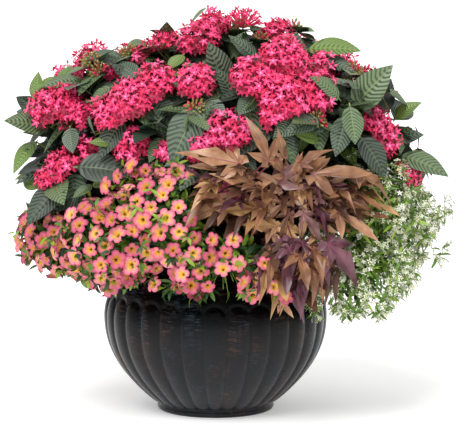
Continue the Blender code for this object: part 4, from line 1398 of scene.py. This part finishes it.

# %% [markdown]
# The leaves are bronze, tan, umber, mauve and purple. The leaves behind the front ones may take a near-black
# brown, and those deep inside only the darker tints, as painted shade. The skin is smoother than that of the
# pentas, with a soft sheen from a low roughness and a fine relief.

# %% Finishes of the vine
vine_skins = []
# The shade tint is a near-black brown that is painted shade.
for tint, colour, other, vein in (
        ("bronze", "#a07050", "#c99c78", "#9c5852"), ("tan", "#a87a4e", "#c99f6c", "#aa6a5c"),
        ("umber", "#744c34", "#a27450", "#8a4e48"), ("mauve", "#704a48", "#a07870", "#9c5a64"),
        ("purple", "#58323c", "#7c4e58", "#88465e"), ("shade", "#462c22", "#644433", "#643638")):
    vine_skins += [living("vine_leaf_" + tint, colour, other, 0.36, 26, 0.5),
                   living("vine_vein_" + tint, vein, vein, 0.5, 14)]
vine_foliage = Copies("vine_leaves", vine_skins, 2)
vine_twigs = Copies("vine_twigs", [living("vine_stalk", "#8c4450", "#74363e", 0.5, 6)])

# %% [markdown]
# The large front leaves overlap like tiles, and their lie gives the plant its look. Each has a listed place,
# in two layers. The leaves behind fan out from the vine's heart by rule, in darker tints towards the inside,
# as painted shade.

# %% Grow the vine
# Leaves on the outside, in two layers: y of their bases and tips, then x and z of each base and tip, in
# millimetres, and the tint.
VINE_LEAVES = (
    ((-218, -228), (
        (39, 423, -53, 450, 0), (11, 412, -31, 430, 0), (82, 429, 62, 492, 2), (105, 435, 92, 482, 2),
        (131, 425, 173, 453, 2), (151, 408, 239, 417, 2), (54, 398, -10, 403, 0), (66, 386, 1, 383, 0),
        (17, 361, -44, 347, 0), (67, 355, 1, 346, 1), (96, 327, 39, 326, 1), (157, 369, 198, 393, 3),
        (183, 366, 245, 364, 2), (189, 348, 253, 313, 0), (136, 348, 175, 301, 3), (103, 306, 113, 242, 4),
        (139, 283, 177, 220, 1), (176, 300, 234, 244, 4), (117, 234, 144, 181, 4), (102, 209, 122, 188, 0),
        (85, 321, 106, 295, 0), (125, 289, 119, 256, 1),
    )),
    ((-200, -218), (
        (108, 361, 67, 331, 0), (119, 369, 161, 402, 2), (101, 384, 66, 417, 0), (97, 393, 135, 432, 3),
        (131, 381, 183, 371, 1), (116, 345, 88, 298, 2), (139, 350, 134, 303, 0), (88, 361, 42, 349, 0),
        (147, 331, 189, 321, 0), (110, 403, 79, 448, 2), (125, 393, 126, 445, 0), (85, 375, 36, 368, 0),
        (159, 350, 201, 374, 4), (113, 325, 134, 275, 1), (73, 347, 33, 331, 4), (131, 406, 176, 432, 2),
        (150, 375, 198, 405, 0),
    )),
)
VINE_STRETCH = 1.04
VINE_HEART = millimetres(108, -120, 385)
VINE_TWIGS = 44
VINE_LEAF = 64 * MM
VINE_OUTSIDE = 0.46
VINE_BOUGH_STEP = 16 * MM
VINE_BOUGH_LEAVES = 5


def put_vine_leaf(base, direction, lean, length, tint):
    along, face = leaf_frame(direction, lean)
    width = rng.uniform(0.85, 1.1)
    vine_foliage.put(rng.choice(hand_leaves), base, along, face, length, tint, width)


rng.seed("vine")
for (base_y, tip_y), rows in VINE_LEAVES:
    for x, z, tip_x, tip_z, tint in rows:
        base, tip = millimetres(x, base_y, z), millimetres(tip_x, tip_y, tip_z)
        length = (tip - base).length * VINE_STRETCH
        put_vine_leaf(base, tip - base, outward(base) * 0.5 + FRONT * 1.2, length, tint)
        add_twig(vine_twigs, arc(nearest_mass("vine", base).centre, base, 6, 0.6, 12), 1.9, 1.2, 5)
for name in masses["vine"]:
    centre = spaces[name].centre
    grow_stalk(vine_twigs, name, 0.7, 8)
    for end, reach in twig_ends(spaces[name], VINE_TWIGS, -0.5, 0.25, 0.56):
        add_twig(vine_twigs, arc(centre, end, 5, 0.6, 10), 1.9, 1.1)
        heading = (end - VINE_HEART).normalized() + outward(end) * 0.3 - UP * rng.uniform(-0.1, 0.5)
        # Leaves deep in the mass take only the darker tints, and any may take the shade tint: painted shade.
        put_vine_leaf(end, heading, outward(end) * rng.uniform(0.6, 1.4), VINE_LEAF * rng.uniform(0.75, 1.1),
                      rng.choice((0, 1, 2, 5) if reach > VINE_OUTSIDE else (2, 4, 5)))
    for place, _ in smooth_path(bough_of(name), VINE_BOUGH_STEP)[1:]:
        for _ in range(VINE_BOUGH_LEAVES):
            heading = random_side(UP) + UP * rng.uniform(-0.4, 0.6)
            # Leaves on the boughs take purple or the shade tint, as painted shade.
            put_vine_leaf(place, heading, UP, VINE_LEAF * rng.uniform(0.7, 1.0), rng.choice((4, 5)))

vine_foliage.join("vine_leaf", masses["vine"])
vine_twigs.join("vine_stem")

# %% [markdown]
# ## The white spurge
# The airy cloud on the right is a small white-bracted euphorbia. Wiry stems fork again and again, and end
# in white stars of 9 mm with a green eye. The narrow leaves stand among them.

# %% White star
EYE_SIDES = 4


def white_star(petals, curl):
    """A star of narrow white bracts of unit radius round a green eye, which is zone 1."""
    points = [(0, 0, 0)]
    for i in range(petals):
        angle = math.tau * i / petals
        points += [polar(0.5, angle - 0.5, 0.12), polar(1.0, angle, -curl), polar(0.5, angle + 0.5, 0.12)]
    faces = [(0, first, first + 1, first + 2) for first in range(1, len(points), 3)]
    eye = len(points)
    points += [polar(0.2, math.tau * i / EYE_SIDES, -0.05) for i in range(EYE_SIDES)] + [(0, 0, 0.3)]
    return Shape(points, faces + fan_faces(eye + EYE_SIDES, eye, EYE_SIDES), [0] * petals + [1] * EYE_SIDES)


stars = [white_star(5, 0.1), white_star(4, -0.25), white_star(3, 0.2)]
euphorbia_white = [
    living("euphorbia_bract_white", "#f8f7ec", "#f4f3e6", 0.6, 5, 0, 0.1),
    living("euphorbia_eye_green", "#b5c65a", "#a8ba48", 0.6, 5),
    living("euphorbia_bract_cream", "#e2e3bc", "#eaeac8", 0.6, 5, 0, 0.1),
    living("euphorbia_eye_olive", "#90a548", "#869a3c", 0.6, 5),
]
euphorbia_greens = living_set("euphorbia_leaf", (
    ("bright", "#98b83c", "#80a432"), ("green", "#668c30", "#527826"),
    ("deep", "#3f5c1e", "#354f1a")), 0.5, 8)
euphorbia_blossom = Copies("euphorbia_flowers", euphorbia_white, 2)
euphorbia_foliage = Copies("euphorbia_leaves", euphorbia_greens)
euphorbia_twigs = Copies("euphorbia_twigs", [living("euphorbia_wire", "#8ba858", "#7a9a48", 0.5, 6)])
print("a star has", len(stars[0].totals), "faces")

# %% [markdown]
# Every wire ends in stars and forks into three shorter wires. A function that calls itself draws just that,
# and it stops where a wire would leave its mass's room.

# %% Grow the white spurge
STAR_RADIUS = 5 * MM
SPURGE_TWIGS = 56
SPURGE_LEAF = 27 * MM
SPURGE_SLIM = 0.55
SPRAY_LENGTHS = (15, 18, 24)
FORKS = 3
# How many stars end a wire, from its last fork down.
STARS_AT_LEVEL = (3, 2, 1)


def spurge_spray(base, direction, length, level, space):
    """A wiry stem that forks, with a few stars at each end."""
    end = base + direction * length
    if not clear_of_pot(end) or not space.own_side(end, 16 * MM):
        return
    middle = base.lerp(end, 0.5) + jitter(length * 0.1)
    add_twig(euphorbia_twigs, [base, middle, end], 0.55, 0.4, 3)
    for _ in range(STARS_AT_LEVEL[level]):
        place = end + jitter(7 * MM)
        facing = (direction + UP * 0.5 + jitter(0.6)).normalized()
        size = STAR_RADIUS * rng.uniform(0.75, 1.15)
        euphorbia_blossom.put(rng.choice(stars), place, random_side(facing), facing, size, rng.choice((0, 1)))
        add_twig(euphorbia_twigs, [end, place], 0.4, 0.3, 3)
    if not level:
        return
    turn = rng.uniform(0, math.tau)
    for side in (0, math.pi):
        along, face = leaf_frame(direction * 0.8 + around(direction, turn + side), direction)
        size = SPURGE_LEAF * rng.uniform(0.6, 1.0)
        euphorbia_foliage.put(small_leaf, end, along, face, size, rng.choice((0, 1, 1)), SPURGE_SLIM)
    for i in range(FORKS):
        aside = around(direction, turn + i * math.tau / FORKS) * rng.uniform(0.5, 0.9)
        way = (direction + aside).normalized()
        spurge_spray(end, way, length * rng.uniform(0.55, 0.8), level - 1, space)


rng.seed("euphorbia")
for name in masses["euphorbia"]:
    space = spaces[name]
    grow_stalk(euphorbia_twigs, name, 0.5, 6)
    for end, _ in twig_ends(space, SPURGE_TWIGS, -0.6, 0.5, 0.8):
        path = arc(space.centre, end, 4, 0.5, 8)
        leafy_sprig(euphorbia_foliage, euphorbia_twigs, path, 0.8, 9, SPURGE_LEAF, slim=SPURGE_SLIM)
        length = rng.choice(SPRAY_LENGTHS) * MM
        out = ((path[-1] - path[-2]).normalized() + jitter(0.2)).normalized()
        spurge_spray(end, out, length, len(STARS_AT_LEVEL) - 1, space)

euphorbia_blossom.join("euphorbia_petal", masses["euphorbia"])
euphorbia_foliage.join("euphorbia_petal")
euphorbia_twigs.join("euphorbia_stem")
